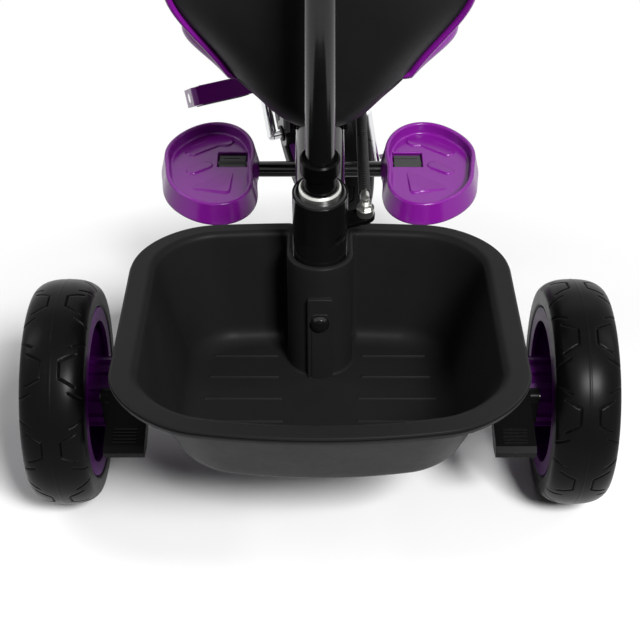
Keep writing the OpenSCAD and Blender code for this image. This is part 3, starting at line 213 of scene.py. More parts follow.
# The groove below the rim and the second lip.
add_levels([17.6, 17.2, 17.4], [226.6, 226.2, 225.9], CHANNEL_R, [226.6, 226.2, 225.9], 3.5)
add_levels(LIP_OUT + LIP_ROUND * bend, LIP_Z - LIP_ROUND * rest, CHANNEL_R, LIP_Z - LIP_ROUND * rest, 3)
add_levels([19.8, 20, 19.4, 17.6, 17], [222.6, 221.7, 221, 221, 221.6],
           CHANNEL_R, [222.6, 221.8, 221.4, 221.2, 221], 3)
# Under the rim, down the outer wall and round below the floor.
add_levels([15.5, 6, WALL], [226.2, 226.6, WALL_TOP], CHANNEL_R, [220.6, 220.2, POST_TOP], 3)
add_levels(WALL, mix(WALL_TOP, FLOOR_Z + 9, h), CHANNEL_R, mix(POST_TOP, FLOOR_Z + 4, h), 3)
add_levels(WALL - UNDER_ROUND * rest, FLOOR_Z + 9 - UNDER_ROUND * bend,
           CHANNEL_R, FLOOR_Z + 4 - POST_UNDER * bend, 3)
print("levels", sum(len(levels) for levels in profile))

# %% [markdown]
# The four main sizes of a level line grow from the floor to the rim, because the walls lean. Each pair below
# is a measure at the floor and at the rim, and a level takes its share by height.

# %% Skin of the basket
BASKET_HALF_W, BASKET_CORNER = (112.8, 139.6), (40.6, 50.8)
BASKET_FRONT, BASKET_BACK = (58, 59), (137.35, 205)
SIDE_STRETCH = 1.15
out, level, channel, channel_z, notch = np.concatenate(profile).T
t = np.clip((level - FLOOR_Z) / (RIM_Z - FLOOR_Z), 0, 1)
lines, at_post = level_lines(mix(*BASKET_HALF_W, t) + SIDE_STRETCH * out, mix(*BASKET_FRONT, t) + out,
                             mix(*BASKET_BACK, t) + out, mix(*BASKET_CORNER, t) + out, channel, notch)
height = mix(level[:, None], channel_z[:, None], at_post)
basket_skin = np.concatenate([lines, height[..., None]], -1)
print("basket skin", basket_skin.shape)

# %% [markdown]
# The floor carries four short ribs on either side, and the channel a tab with the screw. Each is a flat
# rounded outline that is lifted and drawn in by a quarter round, so its edges catch the light as a
# moulding's do. A bump in the material would leave them flat at a low angle.

# %% Ribs, tab and the finished basket
RIBS = [(37, 95), (36, 98), (32, 101), (31, 104)]
RIB_FIRST_Y, RIB_PITCH, RIB_HALF_W, RIB_CORNER, RIB_HIGH, RIB_SOFT = 28.2, 31, 1.6, 1.5, 1.5, 1.2


def soft_rect(half_w, half_h, r, n=6):
    """Round-cornered rectangles, one for each value of the arrays: four quarter rounds joined by
    straights."""
    a = np.radians(np.linspace(0, 90, n))[None] + np.radians([0, 90, 180, 270])[:, None]
    side_x, side_y = np.sign(np.cos(a[:, n // 2]))[:, None], np.sign(np.sin(a[:, n // 2]))[:, None]
    half_w, half_h, r = (np.asarray(v, float).reshape(-1, 1, 1) for v in (half_w, half_h, r))
    x = side_x * (half_w - r) + r * np.cos(a)
    y = side_y * (half_h - r) + r * np.sin(a)
    return np.stack([x, y], -1).reshape(x.shape[0], -1, 2)


def raised(x, y, half_w, half_h, r, low, high, soft):
    """A raised bar: rings of a round-cornered rectangle that rise from low to high and draw in by soft."""
    lift = np.concatenate([[low], high - soft + soft * bend])
    drawn = np.concatenate([[0], soft * rest])
    ring = soft_rect(half_w - drawn, half_h - drawn, np.maximum(r - drawn, 0.2))
    return np.concatenate([ring + [x, y], np.broadcast_to(lift[:, None, None], ring.shape[:2] + (1,))], -1)


def facing_rear(points):
    """Stands a raised bar up: its y becomes the height, and it rises towards the rear."""
    return np.stack([points[..., 0], -points[..., 2], points[..., 1]], -1)


skins = [(basket_skin, False, True, True)]
for i, (near, far) in enumerate(RIBS):
    for side in (-1, 1):
        bar = raised(side * (near + far) / 2, RIB_FIRST_Y - RIB_PITCH * i, (far - near) / 2, RIB_HALF_W,
                     RIB_CORNER, FLOOR_Z - 1, FLOOR_Z + RIB_HIGH, RIB_SOFT)
        skins.append((bar, False, True, True))
tab = facing_rear(raised(0, 158.5, 11, 42.5, 3, -3, 4.4, 1.4))
panel = facing_rear(raised(0, 152, 7.4, 34, 2.5, 3, 5.1, 0.8))
skins += [(tab, False, True, True), (panel, False, True, True)]
basket = build_piece("moulded_basket", skins, "frame", "basket", sharp=50)

# %% [markdown]
# ## Tyres
# The tyres are moulded foam with a shallow tread: brackets that face each other across a fine centre seam,
# and short notches on the shoulders, nine times round. The cross-section has a flat sidewall, a firm
# shoulder and a crowned tread. A torus with a bump map would be too round and smooth at its outline, so the
# section is carried round the axle and the grooves are pressed into the points.

# %% Cross-section of a tyre
# Shares of the radius at the bead and at the foot and head of the sidewall; share of the half width at the
# bead.
BEAD_R, FOOT_R, SHOULDER_R, BEAD_W = 0.752, 0.785, 0.893, 0.86
SECTION_POINTS = 108


def tyre_section(radius, half_w):
    """Cross-section from bead to bead: a quarter round, a flat sidewall and a tread whose height over the
    shoulder is the power 0.62 of 1 - |share of half width|^2.5; the rim seat closes it. Points are spread
    evenly along it, but wider apart on the sidewalls."""
    share = np.sin(np.linspace(-np.pi / 2, np.pi / 2, 801))
    tread = SHOULDER_R + (1 - SHOULDER_R) * (1 - np.abs(share) ** 2.5) ** 0.62
    quarter = np.linspace(0, np.pi / 2, 40)
    w_in = np.concatenate([mix(BEAD_W, 1, np.sin(quarter)), np.ones(40)])
    sidewall = np.linspace(FOOT_R, SHOULDER_R, 41)[:-1]
    r_in = np.concatenate([mix(BEAD_R, FOOT_R, 1 - np.cos(quarter)), sidewall])
    w = np.concatenate([-w_in, share, w_in[::-1]]) * half_w
    r = np.concatenate([r_in, tread, r_in[::-1]]) * radius
    weight = np.where(r[1:] > 0.9 * radius, 1, 0.45)
    walk = np.concatenate([[0], np.cumsum(np.hypot(np.diff(w), np.diff(r)) * weight)])
    even = np.linspace(0, walk[-1], SECTION_POINTS)
    return np.interp(even, walk, w), np.interp(even, walk, r)


print("tyre section", len(tyre_section(100, 27)[0]), "points")

# %% [markdown]
# A groove is a line of the pattern and a soft V around it. Each point of the tread measures its distance
# from the nearest line and sinks if it is close. How far it sinks, from 0 to 1, is kept with the points,
# because the finish needs it later.

# %% Tread of a tyre
UNITS = 9
TURN_POINTS = 738
# Both ends of a bracket's two stretches and of the notch, as (arc from the unit's middle, distance from the
# seam) on a tyre with a radius of 100 and a half width of 24.
GROOVES = [((0, 6.8), (7.4, 6.8)), ((7.4, 6.8), (14.2, 18)), ((20, 14), (26.5, 24.5))]
GROOVE_DEPTH, GROOVE_SOFT, SEAM_HEIGHT, SEAM_W = 1.3, 0.6, 0.3, 0.5


def to_line(x, y, a, b):
    """Distance of points from the straight stretch a to b: the foot of the perpendicular is kept on it."""
    dx, dy = b[0] - a[0], b[1] - a[1]
    t = np.clip(((x - a[0]) * dx + (y - a[1]) * dy) / (dx * dx + dy * dy), 0, 1)
    return np.hypot(x - a[0] - t * dx, y - a[1] - t * dy)


def tyre_skin(radius, half_w, phase):
    """The section turned about its axle, with the depth of its grooves from 0 to 1. Along the tread, s is the
    arc from the middle of the nearest unit; a groove falls by the smooth step of its closeness to a line."""
    w, r = tyre_section(radius, half_w)
    angle = np.linspace(0, 2 * np.pi, TURN_POINTS, endpoint=False)[:, None]
    unit = 2 * np.pi / UNITS
    s = 100 * np.abs((angle - phase + unit / 2) % unit - unit / 2)
    across = np.abs(w)[None] * 24 / half_w
    d = np.minimum.reduce([to_line(s, across, *ends) for ends in GROOVES])
    on_tread = np.clip((r / radius - 0.885) / 0.02, 0, 1)[None]
    groove = np.clip(1.45 - d / GROOVE_SOFT, 0, 1) * on_tread
    seam = np.exp(-(w / SEAM_W) ** 2)[None]
    r = r[None] - GROOVE_DEPTH * groove * groove * (3 - 2 * groove) + SEAM_HEIGHT * seam
    x = np.broadcast_to(w[None], groove.shape)
    return np.stack([x, -r * np.cos(angle), r * np.sin(angle)], -1), groove


print("tread units", UNITS)

# %% [markdown]
# The two rear tyres have rolled by different angles in the photograph, which their brackets show. The front
# tyre stands in the fork, which leans back and is turned, so its points go through the same two turns.

# %% Rear tyres and the leaning front tyre
LEAN, STEER = math.radians(12), math.radians(20)
STEER_ORIGIN = np.array([0, 470, 124.684])
REAR_R, REAR_HALF_W, REAR_X = 100, 27, 223
FRONT_R, FRONT_HALF_W = 125, 23


def turned_and_leaned(points, origin):
    """Carries points from the fork's or the handle's own frame: turned about Z, then leaned back about X."""
    c, s, cl, sl = math.cos(STEER), math.sin(STEER), math.cos(LEAN), math.sin(LEAN)
    turn = np.array([[c, -s, 0], [s, c, 0], [0, 0, 1]])
    lean = np.array([[1, 0, 0], [0, cl, -sl], [0, sl, cl]])
    return points @ (lean @ turn).T + origin


tyres = []
for side, name, rolled in ((-1, "left", 8), (1, "right", 25)):
    rear_points, grooves = tyre_skin(REAR_R, REAR_HALF_W, math.radians(rolled))
    place = rear_points * [side, 1, 1] + [side * REAR_X, 0, REAR_R]
    tyres.append(build_piece("tread_tyre_" + name, [(place, True, True, False)], "rear_wheel_" + name,
                             "rear_tyre_" + name, 60, grooves))
front_points, front_grooves = tyre_skin(FRONT_R, FRONT_HALF_W, 0)
front_points = turned_and_leaned(front_points, STEER_ORIGIN)
tyres.append(build_piece("tread_tyre_front", [(front_points, True, True, False)], "front_wheel",
                         "front_tyre", 60, front_grooves))

# %% [markdown]
# ## Footrest trays
# A footrest is a shallow purple tray with a rolled rim, a skirt that stands out below it, three raised pads
# and a window through which the clip on the bar shows. Cutting the window with a Boolean would leave ragged
# faces round it, so rays are sent out from its middle and the rings of the tray are strung along them.
# The outline is a radius round the tray's middle that swells and shrinks by five harmonics.

# %% Outline of a tray
WINDOW, WINDOW_HALF = np.array([27.0, 0.0]), (15, 12.5)
MIDDLE, MEAN_R = np.array([49.0, -19.0]), 57.1
SWELLS = [(-1.84, -0.12), (-12.8, 1.79), (2.91, 0.73), (0.17, -0.71), (-0.85, 0.73)]
rays = np.linspace(0, 2 * np.pi, 520, endpoint=False)


def tray_edge(inset):
    """Points where the rays from the window meet the outline, drawn in by inset along its normals. The
    radius round the middle is the mean plus a cosine and a sine of one to five times the angle."""
    turn = np.linspace(0, 2 * np.pi, 4000, endpoint=False)
    swell = sum(c * np.cos(k * turn) + s * np.sin(k * turn) for k, (c, s) in enumerate(SWELLS, 1))
    edge = MIDDLE + (MEAN_R + swell)[:, None] * np.stack([np.cos(turn), np.sin(turn)], -1)
    along = np.roll(edge, -1, 0) - np.roll(edge, 1, 0)
    inward = np.stack([-along[:, 1], along[:, 0]], -1) / np.linalg.norm(along, axis=1, keepdims=True)
    x, y = (edge + inset * inward - WINDOW).T
    far = np.interp(rays, np.arctan2(y, x), np.hypot(x, y), period=2 * np.pi)
    return WINDOW + far[:, None] * np.stack([np.cos(rays), np.sin(rays)], -1)


def window_edge(grow):
    """Points where the rays meet the window's rectangle, which may grow on all sides."""
    reach_x = (WINDOW_HALF[0] + grow) / np.maximum(np.abs(np.cos(rays)), 1e-6)
    reach_y = (WINDOW_HALF[1] + grow) / np.maximum(np.abs(np.sin(rays)), 1e-6)
    return WINDOW + np.minimum(reach_x, reach_y)[:, None] * np.stack([np.cos(rays), np.sin(rays)], -1)


print("tray edge", tray_edge(0).min(0).round(1), tray_edge(0).max(0).round(1))

# %% [markdown]
# The raised pads of the tray are wedges: flush with the floor on the far side and a step on the near one.
# They are worked out as a height over the floor, so the floor stays one sheet.

# %% Raised pads of a tray
LONG_BAR, LONG_BAR_R = [((68.5, 13.4), (44.5, 30.4)), ((44.5, 30.4), (35, 30.4))], 7.3
SHORT_BAR, SHORT_BAR_R = ((66.6, -19.3), (53.4, -10.5)), 6.3
TRIANGLE, TRIANGLE_R = [(60.5, -47.5), (29, -26), (31, -54)], 3.5
STEP, STEP_W = 1.7, 1.1


def pad_height(x, y):
    """Height of the three wedges: a sharp step at the outline of a bent bar, a short bar and a triangle,
    times a ramp that grows from their far side to their near one."""
    long_bar = np.minimum.reduce([to_line(x, y, *ends) for ends in LONG_BAR]) - LONG_BAR_R
    short_bar = to_line(x, y, *SHORT_BAR) - SHORT_BAR_R
    sides = [(TRIANGLE[i], TRIANGLE[(i + 1) % 3]) for i in range(3)]
    edges = [to_line(x, y, *ends) for ends in sides]
    cross = [(q[0] - p[0]) * (y - p[1]) - (q[1] - p[1]) * (x - p[0]) for p, q in sides]
    within = (np.minimum.reduce(cross) > 0) | (np.maximum.reduce(cross) < 0)
    triangle = np.where(within, -9, np.minimum.reduce(edges) - TRIANGLE_R)
    near = -0.56 * x - 0.83 * y
    ramps = (near + 57) / 15, (near + 28.5) / 13, (near - 1) / 20
    heights = [np.clip(0.5 - d / STEP_W, 0, 1) * np.clip(ramp, 0, 1)
               for d, ramp in zip((long_bar, short_bar, triangle), ramps)]
    return STEP * np.maximum.reduce(heights)


print("highest pad", STEP, "mm")

# %% [markdown]
# Rings run from the window out to the rim, over it and back under the floor, so the surface closes on itself
# like a ring doughnut. Two sleeves under the floor hold the tray on its bar, and a strip hangs below either
# long edge of the window.

# %% Skins of a tray
TRAY_TOP, TRAY_UNDER, FLOOR_INSET, FILLET = 12, 9.0, 7.2, 2.2
ROLL_INSET, ROLL_Z, ROLL_R = 2.2, 21.6, 2.4
# The skirt from the rolled rim down to its foot and up again inside, as (inset, height).
SKIRT = [(-0.7, 19), (-2.3, 12), (-3.9, 5), (-4.4, 2.6), (-4.2, 1.6),
         (-3.3, 1), (-2.2, 1.2), (-1.6, 2.2), (-0.2, 7), (0.6, 9)]
BAR_BORE, BOSS_R = 8.1, 11


def ring_at(edge, z):
    """A ring of points at one height."""
    return np.c_[edge, np.full(len(rays), z)]


def tray_skin():
    """Rings of one tray, in its own frame: x from the inner edge, y ahead of the bar, z above the bar's
    axis. The wall starts in a quarter round and ends in a half round, the rolled rim."""
    rings = [ring_at(window_edge(0), 9.5), ring_at(window_edge(0), 11.4)]
    k = np.linspace(0, 1, 84)[:, None, None]
    floor = mix(window_edge(0.7)[None], tray_edge(FLOOR_INSET)[None], k)
    lift = TRAY_TOP + pad_height(floor[..., 0], floor[..., 1])
    rings += list(np.concatenate([floor, lift[..., None]], -1))
    walls = [(FLOOR_INSET - FILLET * np.sin(b), TRAY_TOP + FILLET * (1 - np.cos(b)))
             for b in quarter_turn[1:]]
    walls += [(4.9, 18), (4.6, 21.4)]
    half_turn = np.radians(np.linspace(0, 180, 13))
    walls += [(ROLL_INSET + ROLL_R * np.cos(b), ROLL_Z + ROLL_R * np.sin(b)) for b in half_turn]
    rings += [ring_at(tray_edge(inset), z) for inset, z in walls + SKIRT]
    under = mix(tray_edge(2)[None], window_edge(0.5)[None], np.linspace(0, 1, 8)[:, None, None])
    rings += [ring_at(edge, TRAY_UNDER) for edge in under]
    return np.stack(rings)


def boss_skin(start, end):
    """Sleeve round the bar: a rectangle of two radii and two ends carried round the bar's axis."""
    turn = np.linspace(0, 2 * np.pi, 48, endpoint=False)[None]
    r = np.array([BAR_BORE, BOSS_R, BOSS_R, BAR_BORE])[:, None]
    x = np.array([start, start, end, end])[:, None]
    return np.stack(np.broadcast_arrays(x, r * np.cos(turn), r * np.sin(turn)), -1)


def strip_skin(y_near, y_far):
    """Upright strip beside the window that closes the view under the floor: a rectangle in y and z carried
    along x."""
    y, z = np.array([y_near, y_far, y_far, y_near]), np.array([-4, -4, 9.4, 9.4])
    x = np.linspace(10, 54, 6)[:, None]
    return np.stack(np.broadcast_arrays(x, y[None], z[None]), -1)


print("rings of a tray", tray_skin().shape)

# %% [markdown]
# A tray is worked out flat, as it would lie on a bench, and then tilted about its bar. The left one is the
# mirror image of the right one.

# %% Trays on their bar
BAR_Y, BAR_Z, TRAY_IN, TILT = 276.0, 173.0, 62.0, math.radians(7)
BOSS_SPANS = (1, 12), (42, 46)
STRIP_SPANS = (14.6, 15.8), (-15.8, -14.6)


def place_tray(points, side):
    """Tilts points of a tray about its bar and sets them to one side of the trike."""
    x, y, z = points[..., 0], points[..., 1], points[..., 2]
    return np.stack([side * (TRAY_IN + x), BAR_Y + y * math.cos(TILT) - z * math.sin(TILT),
                     BAR_Z + y * math.sin(TILT) + z * math.cos(TILT)], -1)


trays = []
for side, name in ((-1, "left"), (1, "right")):
    skins = [(place_tray(tray_skin(), side), True, True, False)]
    skins += [(place_tray(boss_skin(*span), side), True, True, False) for span in BOSS_SPANS]
    skins += [(place_tray(strip_skin(*span), side), False, True, True) for span in STRIP_SPANS]
    trays.append(build_piece("tray_" + name, skins, "footrest_" + name, "footrest_" + name,
                             50))

# %% [markdown]
# ## Seat
# The seat is a bent plastic sheet: a flat pan, a round bend and a straight back, with sides that curl up.
# A box under a Subdivision Surface would come out too puffy, so the sheet is a formula: a point on it has a
# distance d along the bend line from the front edge, a sideways share x and a height h above the outer face.

# %% Seat surface
SEAT_W, PAN, BACK, BEND, THICK = 236.0, 180.0, 170.0, 55.0, 5.0
BACK_LEAN, SEAT_TILT = math.radians(6), math.radians(8.6821)
BEND_LEN = BEND * (math.pi / 2 - BACK_LEAN)
PATH = PAN + BEND_LEN + BACK
END_W, END_ROUND, WAIST, WAIST_LEN = 0.62, 70, 0.45, 130
CURL, CURL_POWER, CURL_ENDS = 44, 2.3, 0.45
seat_rest = np.array([0, 115.0, 313.847])


def seat_point(d, x, h):
    """Point of the seat: the bend line's place plus, towards the sitter, h and a rise of 44 |x|^2.3 that is
    fullest in the middle of the line; the half width narrows in a round at both ends and has a waist at
    the bend."""
    d, x, h = np.broadcast_arrays(*(np.asarray(v, float) for v in (d, x, h)))
    turn = np.radians(270) - np.clip(d - PAN, 0, BEND_LEN) / BEND
    y = np.where(d <= PAN, PAN - d, BEND * np.cos(turn))
    z = np.where(d <= PAN, 0, BEND + BEND * np.sin(turn))
    past = np.clip(d - PAN - BEND_LEN, 0, None)
    y, z = y - past * math.sin(BACK_LEAN), z + past * math.cos(BACK_LEAN)

    def narrowing(e):
        return END_W + (1 - END_W) * np.sqrt(np.clip(1 - np.clip(1 - e / END_ROUND, 0, 1) ** 2, 0, 1))

    waist = 1 - WAIST * np.clip(1 - ((d - PAN - BEND_LEN / 2) / WAIST_LEN) ** 2, 0, 1) ** 2
    half = SEAT_W / 2 * narrowing(d) * narrowing(PATH - d) * waist
    fullness = CURL_ENDS + (1 - CURL_ENDS) * np.sin(np.pi * np.clip(d / PATH, 0, 1))
    up = h + CURL * fullness * np.abs(x) ** CURL_POWER
    y, z = y + np.where(d <= PAN, 0, -np.cos(turn)) * up, z + np.where(d <= PAN, 1, -np.sin(turn)) * up
    c, s = math.cos(SEAT_TILT), math.sin(SEAT_TILT)
    return np.stack([x * half, y * c - z * s, y * s + z * c], -1) + seat_rest


def sheet_between(d, x, low, high):
    """Closed sheet: rows along d, each going across on the low face and back on the high one."""
    outside = seat_point(d[:, None], x[None], low)
    inside = seat_point(d[:, None], x[None, ::-1], high)
    return np.concatenate([outside, inside], 1)


d = np.linspace(0, PATH, 130)
x = np.linspace(-1, 1, 70)
edge_row = seat_point(np.array([[0.0], [PATH]]), np.concatenate([x, x[::-1]])[None], THICK / 2)
shell = np.concatenate([edge_row[:1], sheet_between(d, x, 0, THICK), edge_row[1:]])
shell_piece = build_piece("bucket_seat", [(shell, False, True, False)], "frame", "seat_shell")

# %% [markdown]
# A purple bead runs round the edge of the sheet. A curve with a bevel would twist at the corners, so an oval
# is carried along the edge with two directions of its own: up from the sheet, and outwards from it. The
# outward direction is averaged over eleven neighbours, which rounds the bead at the corners.

# %% Bead round the edge
BEAD_OUT, BEAD_HALF_W, BEAD_HALF_H = 3.5, 3.1, 4.5
n = 90


def unit_rows(rows):
    """Each row divided by its length."""
    return rows / np.linalg.norm(rows, axis=1, keepdims=True)


to_front, to_back = np.linspace(PATH, 0, 2 * n)[:-1], np.linspace(0, PATH, 2 * n)[:-1]
to_left, to_right = np.linspace(1, -1, n)[:-1], np.linspace(-1, 1, n)[:-1]
walk_d = np.concatenate([to_front, np.zeros(n - 1), to_back, np.full(n - 1, PATH)])
walk_x = np.concatenate([np.ones(2 * n - 1), to_left, -np.ones(2 * n - 1), to_right])
middle = seat_point(walk_d, walk_x, THICK / 2)
up = unit_rows(seat_point(walk_d, walk_x, THICK) - middle)
tangent = np.roll(middle, -1, 0) - np.roll(middle, 1, 0)
outward = unit_rows(np.cross(tangent, up))
outward = unit_rows(sum(np.roll(outward, k, 0) for k in range(-5, 6)))
turn = np.linspace(0, 2 * np.pi, 20, endpoint=False)[None, :, None]
oval_out, oval_up = BEAD_OUT + BEAD_HALF_W * np.cos(turn), BEAD_HALF_H * np.sin(turn)
bead = middle[:, None] + outward[:, None] * oval_out + up[:, None] * oval_up
bead_piece = build_piece("seat_bead", [(bead, True, True, False)], "frame", "seat_trim")

# %% [markdown]
# The pads are stuffed covers. Each starts as a closed crowned form that is a little too small, is remeshed
# into even cells and blown up as cloth with a gentle pressure. The movement is capped and none of it goes
# towards the seat, so the pad swells between its edges and still lies where it lay.

# %% Form and stuffing of a pad
PAD_N, PAD_WIDE, PAD_GAP, PAD_RISE, PAD_EDGE = 44, 0.72, 1.4, 19, 0.24
CELL, PRESSURE, FRAMES = 0.0045, 4, 20


def crowned_pad(start, end):
    """Closed pad over a stretch of the seat: its thickness falls to a quarter at the edges by sixth powers
    of the shares along and across."""
    share = np.sin(np.linspace(-1, 1, PAD_N) * np.pi / 2)
    u, v = share[:, None], share[None]
    d = mix(start, end, (u + 1) / 2)
    crown = PAD_RISE * (PAD_EDGE + (1 - PAD_EDGE) * (1 - np.abs(u) ** 6) * (1 - np.abs(v) ** 6))
    low = seat_point(d, PAD_WIDE * v, THICK + PAD_GAP)
    high = seat_point(d, PAD_WIDE * v, THICK + PAD_GAP + crown)
    return np.concatenate([low, high[:, ::-1]], 1)


def puff_up(piece, cap, up):
    """Cloth with pressure on a voxel remesh: twenty frames, with each point held within cap of where it
    began and its movement against the direction up taken out."""
    remesh = piece.modifiers.new("even", "REMESH")
    remesh.mode = "VOXEL"
    remesh.voxel_size = CELL
    mesh = bpy.data.meshes.new_from_object(piece.evaluated_get(bpy.context.evaluated_depsgraph_get()))
    piece.modifiers.clear()
    piece.data = mesh
    start = np.empty(3 * len(mesh.vertices))
    mesh.vertices.foreach_get("co", start)
    cloth = piece.modifiers.new("cover", "CLOTH")
    cloth.settings.use_pressure = True
    cloth.settings.uniform_pressure_force = PRESSURE
    cloth.settings.effector_weights.gravity = 0
    for number in range(1, FRAMES + 1):
        scene.frame_set(number)
    swollen = np.empty_like(start)
    piece.evaluated_get(bpy.context.evaluated_depsgraph_get()).data.vertices.foreach_get("co", swollen)
    move = (swollen - start).reshape(-1, 3)
    move -= np.minimum(move @ up, 0)[:, None] * up
    move *= np.minimum(1, cap / np.maximum(np.linalg.norm(move, axis=1, keepdims=True), 1e-9))
    mesh.vertices.foreach_set("co", start + move.ravel())
    piece.modifiers.clear()
    scene.frame_set(1)
    mesh.shade_smooth()
    smooth = piece.modifiers.new("smooth", "SUBSURF")
    smooth.levels = smooth.render_levels = 1
    print(piece.name, "swelled by up to", round(float(np.linalg.norm(move, axis=1).max()) / MM, 1), "mm")


print("pad grid", crowned_pad(20, 178).shape)

# %% [markdown]
# One pad lies on the pan and one on the back.

# %% Pads
PAD_CAP = 5 * MM
pad_rows = [("pan_pad", "seat_cushion", 20, 178),
            ("back_pad", "back_cushion", PAN + BEND_LEN + 2, PATH - 19)]
pads = []
for name, node, start, end in pad_rows:
    form = crowned_pad(start, end)
    rise = (form[:, PAD_N:][:, ::-1] - form[:, :PAD_N]).mean((0, 1))
    pad = build_piece(name, [(form, False, True, True)], "frame", node)
    puff_up(pad, PAD_CAP, rise / np.linalg.norm(rise))
    pads.append(pad)

# %% [markdown]
# ## Ribbed sleeve and foam grips
# The steering rod runs in a ribbed rubber sleeve. An Array of rings would leave hundreds of loose parts, so
# it is one tube whose radius rises and falls along its length. The grips on the push bar are foam sleeves
# whose ends are rounded over the last four millimetres.

# %% Sleeve
ROD_A, ROD_B = np.array([38.5274, 39.0531, 263.741]), np.array([38.5274, 451.074, 281.168])
ROD_END, SLEEVE_RIB, SLEEVE_R, SLEEVE_SWELL, SLEEVE_BORE = 26.05, 4, 4.2, 1.05, 3.1


def tube_skin(start, end, along, radius, inner, sides=28):
    """Tube that runs from start towards end: outside radius at each distance along it, and back through a
    bore."""
    way = (end - start) / np.linalg.norm(end - start)
    side = np.cross(way, [0, 0, 1.0])
    side /= np.linalg.norm(side)
    over = np.cross(side, way)
    turn = np.linspace(0, 2 * np.pi, sides, endpoint=False)[None, :, None]
    along = np.concatenate([along, along[::-1]])[:, None, None]
    radius = np.concatenate([radius, np.full(len(radius), inner)])[:, None, None]
    return start + way * along + radius * (side * np.cos(turn) + over * np.sin(turn))


span = np.linalg.norm(ROD_B - ROD_A)
ribs = math.floor((span - 2 * ROD_END) / SLEEVE_RIB)
along = np.linspace(0, SLEEVE_RIB * ribs, 8 * ribs + 1)
begin = ROD_A + (ROD_B - ROD_A) / span * (span - SLEEVE_RIB * ribs) / 2
ribbed = SLEEVE_R + SLEEVE_SWELL * np.abs(np.sin(np.pi * along / SLEEVE_RIB)) ** 0.7
sleeve_skin = tube_skin(begin, ROD_B, along, ribbed, SLEEVE_BORE)
sleeve = build_piece("ribbed_sleeve", [(sleeve_skin, True, True, False)],
                     "link_rod", "rod_sleeve", 70)

# %% Foam grips
HANDLE_ORIGIN = np.array([0, 27, 253])
GRIP_LEN, GRIP_X, GRIP_Z = 114.2, 38.8, 702.0
GRIP_R, GRIP_SWELL, GRIP_ROUND, GRIP_BORE = 15.4, 1.1, 4, 11.05
along = np.linspace(0, GRIP_LEN, 60)
from_end = np.minimum(along, GRIP_LEN - along)
swell = GRIP_R + GRIP_SWELL * np.sqrt(np.clip(1 - np.clip(1 - from_end / GRIP_ROUND, 0, 1) ** 2, 0, 1))
foam_skins = []
for side in (-1, 1):
    start, end = np.array([side * GRIP_X, 0, GRIP_Z]), np.array([side * (GRIP_X + GRIP_LEN), 0, GRIP_Z])
    ring = tube_skin(start, end, along, swell, GRIP_BORE, 48)
    foam_skins.append((turned_and_leaned(ring, HANDLE_ORIGIN), True, True, False))
foam = build_piece("foam_grips", foam_skins, "push_handle", "handle_grips")

# %% [markdown]
# ## Finishes
# Shader maths reads better as arithmetic, so a small class wraps a socket: adding, multiplying or
# subtracting wires adds one Math node each. Every other node comes from one method that takes the node's
# type, its settings and its sockets.

# %% Wires
class Wire:
    """An output socket that can be added, subtracted and multiplied; each step adds a Math node."""

    def __init__(self, socket):
        self.socket = socket

    @staticmethod
    def node(tree, kind, settings, sockets, out=0):
        """Adds a node: settings first, then values or wires for its sockets."""
        made = tree.nodes.new("ShaderNode" + kind)
        for name, value in settings.items():
            setattr(made, name, value)
        for name, value in sockets.items():
            if isinstance(value, Wire):
                tree.links.new(value.socket, made.inputs[name])
            else:
                made.inputs[name].default_value = value
        return None if out is None else Wire(made.outputs[out])

    def math(self, operation, *values):
        """One Math node on these values, in their order."""
        return Wire.node(self.socket.id_data, "Math", {"operation": operation}, dict(enumerate(values)))

    def __add__(self, other):
        return self.math("ADD", self, other)

    def __sub__(self, other):
        return self.math("SUBTRACT", self, other)

    def __mul__(self, other):
        return self.math("MULTIPLY", self, other)

    __radd__, __rmul__ = __add__, __mul__


def blend(tree, share, low, high):
    """A colour between low and high by a share. A Mix node keeps its colour sockets at 6, 7 and out 2."""
    return Wire.node(tree, "Mix", {"data_type": "RGBA"}, {0: share, 6: low, 7: high}, 2)


print("wires ready")

# %% [markdown]
# A finish has a tone that drifts a little from place to place, a roughness that does the same, and a fine
# relief. Edges of a real piece are never razor sharp, so the relief starts from a normal that is rounded
# near the edges. An image texture would need a flat map of every piece; noise needs only the place.

# %% One recipe for all finishes
CLOUD_SCALE, SMUDGE_SCALE = 22.0, 140.0
EDGE_MM = 0.6


def finish(name, tone, drift_tone, rough, rough_drift, grain_mm, relief_mm, shine=0.5, coat=0.0, metal=0.0,
           extra=None):
    """A material: tone and drift tone mixed by broad noise, roughness around a value, and grain as a bump.
    Shine, coat and metal are the same all over. extra may change the tone, the roughness and the relief
    with wires of its own."""
    material = bpy.data.materials.new(name)
    material.use_nodes = True
    tree = material.node_tree
    tree.nodes.clear()
    place = Wire.node(tree, "TexCoord", {}, {}, "Object")

    def noise(scale, detail):
        return Wire.node(tree, "TexNoise", {}, {"Vector": place, "Scale": scale, "Detail": detail}, "Fac")

    cloud, smudge = noise(CLOUD_SCALE, 3.0), noise(SMUDGE_SCALE, 4.0)
    parts = {"tree": tree, "place": place, "relief": noise(1000.0 / grain_mm, 2.0)}
    parts["tone"] = blend(tree, cloud, (*tone, 1), (*drift_tone, 1))
    parts["rough"] = rough + (cloud + smudge - 1) * rough_drift
    if extra:
        parts.update(extra(parts))
    soft = Wire.node(tree, "Bevel", {"samples": 4}, {"Radius": EDGE_MM * MM})
    bump = Wire.node(tree, "Bump", {}, {"Height": parts["relief"], "Strength": 1.0,
                                        "Distance": relief_mm * MM, "Normal": soft})
    surface = Wire.node(tree, "BsdfPrincipled", {}, {
        "Base Color": parts["tone"], "Roughness": parts["rough"], "Normal": bump, "Metallic": metal,
        "Specular IOR Level": shine, "Coat Weight": coat, "Coat Roughness": 0.05})
    Wire.node(tree, "OutputMaterial", {}, {"Surface": surface}, None)
    return material


print("finish recipe ready")

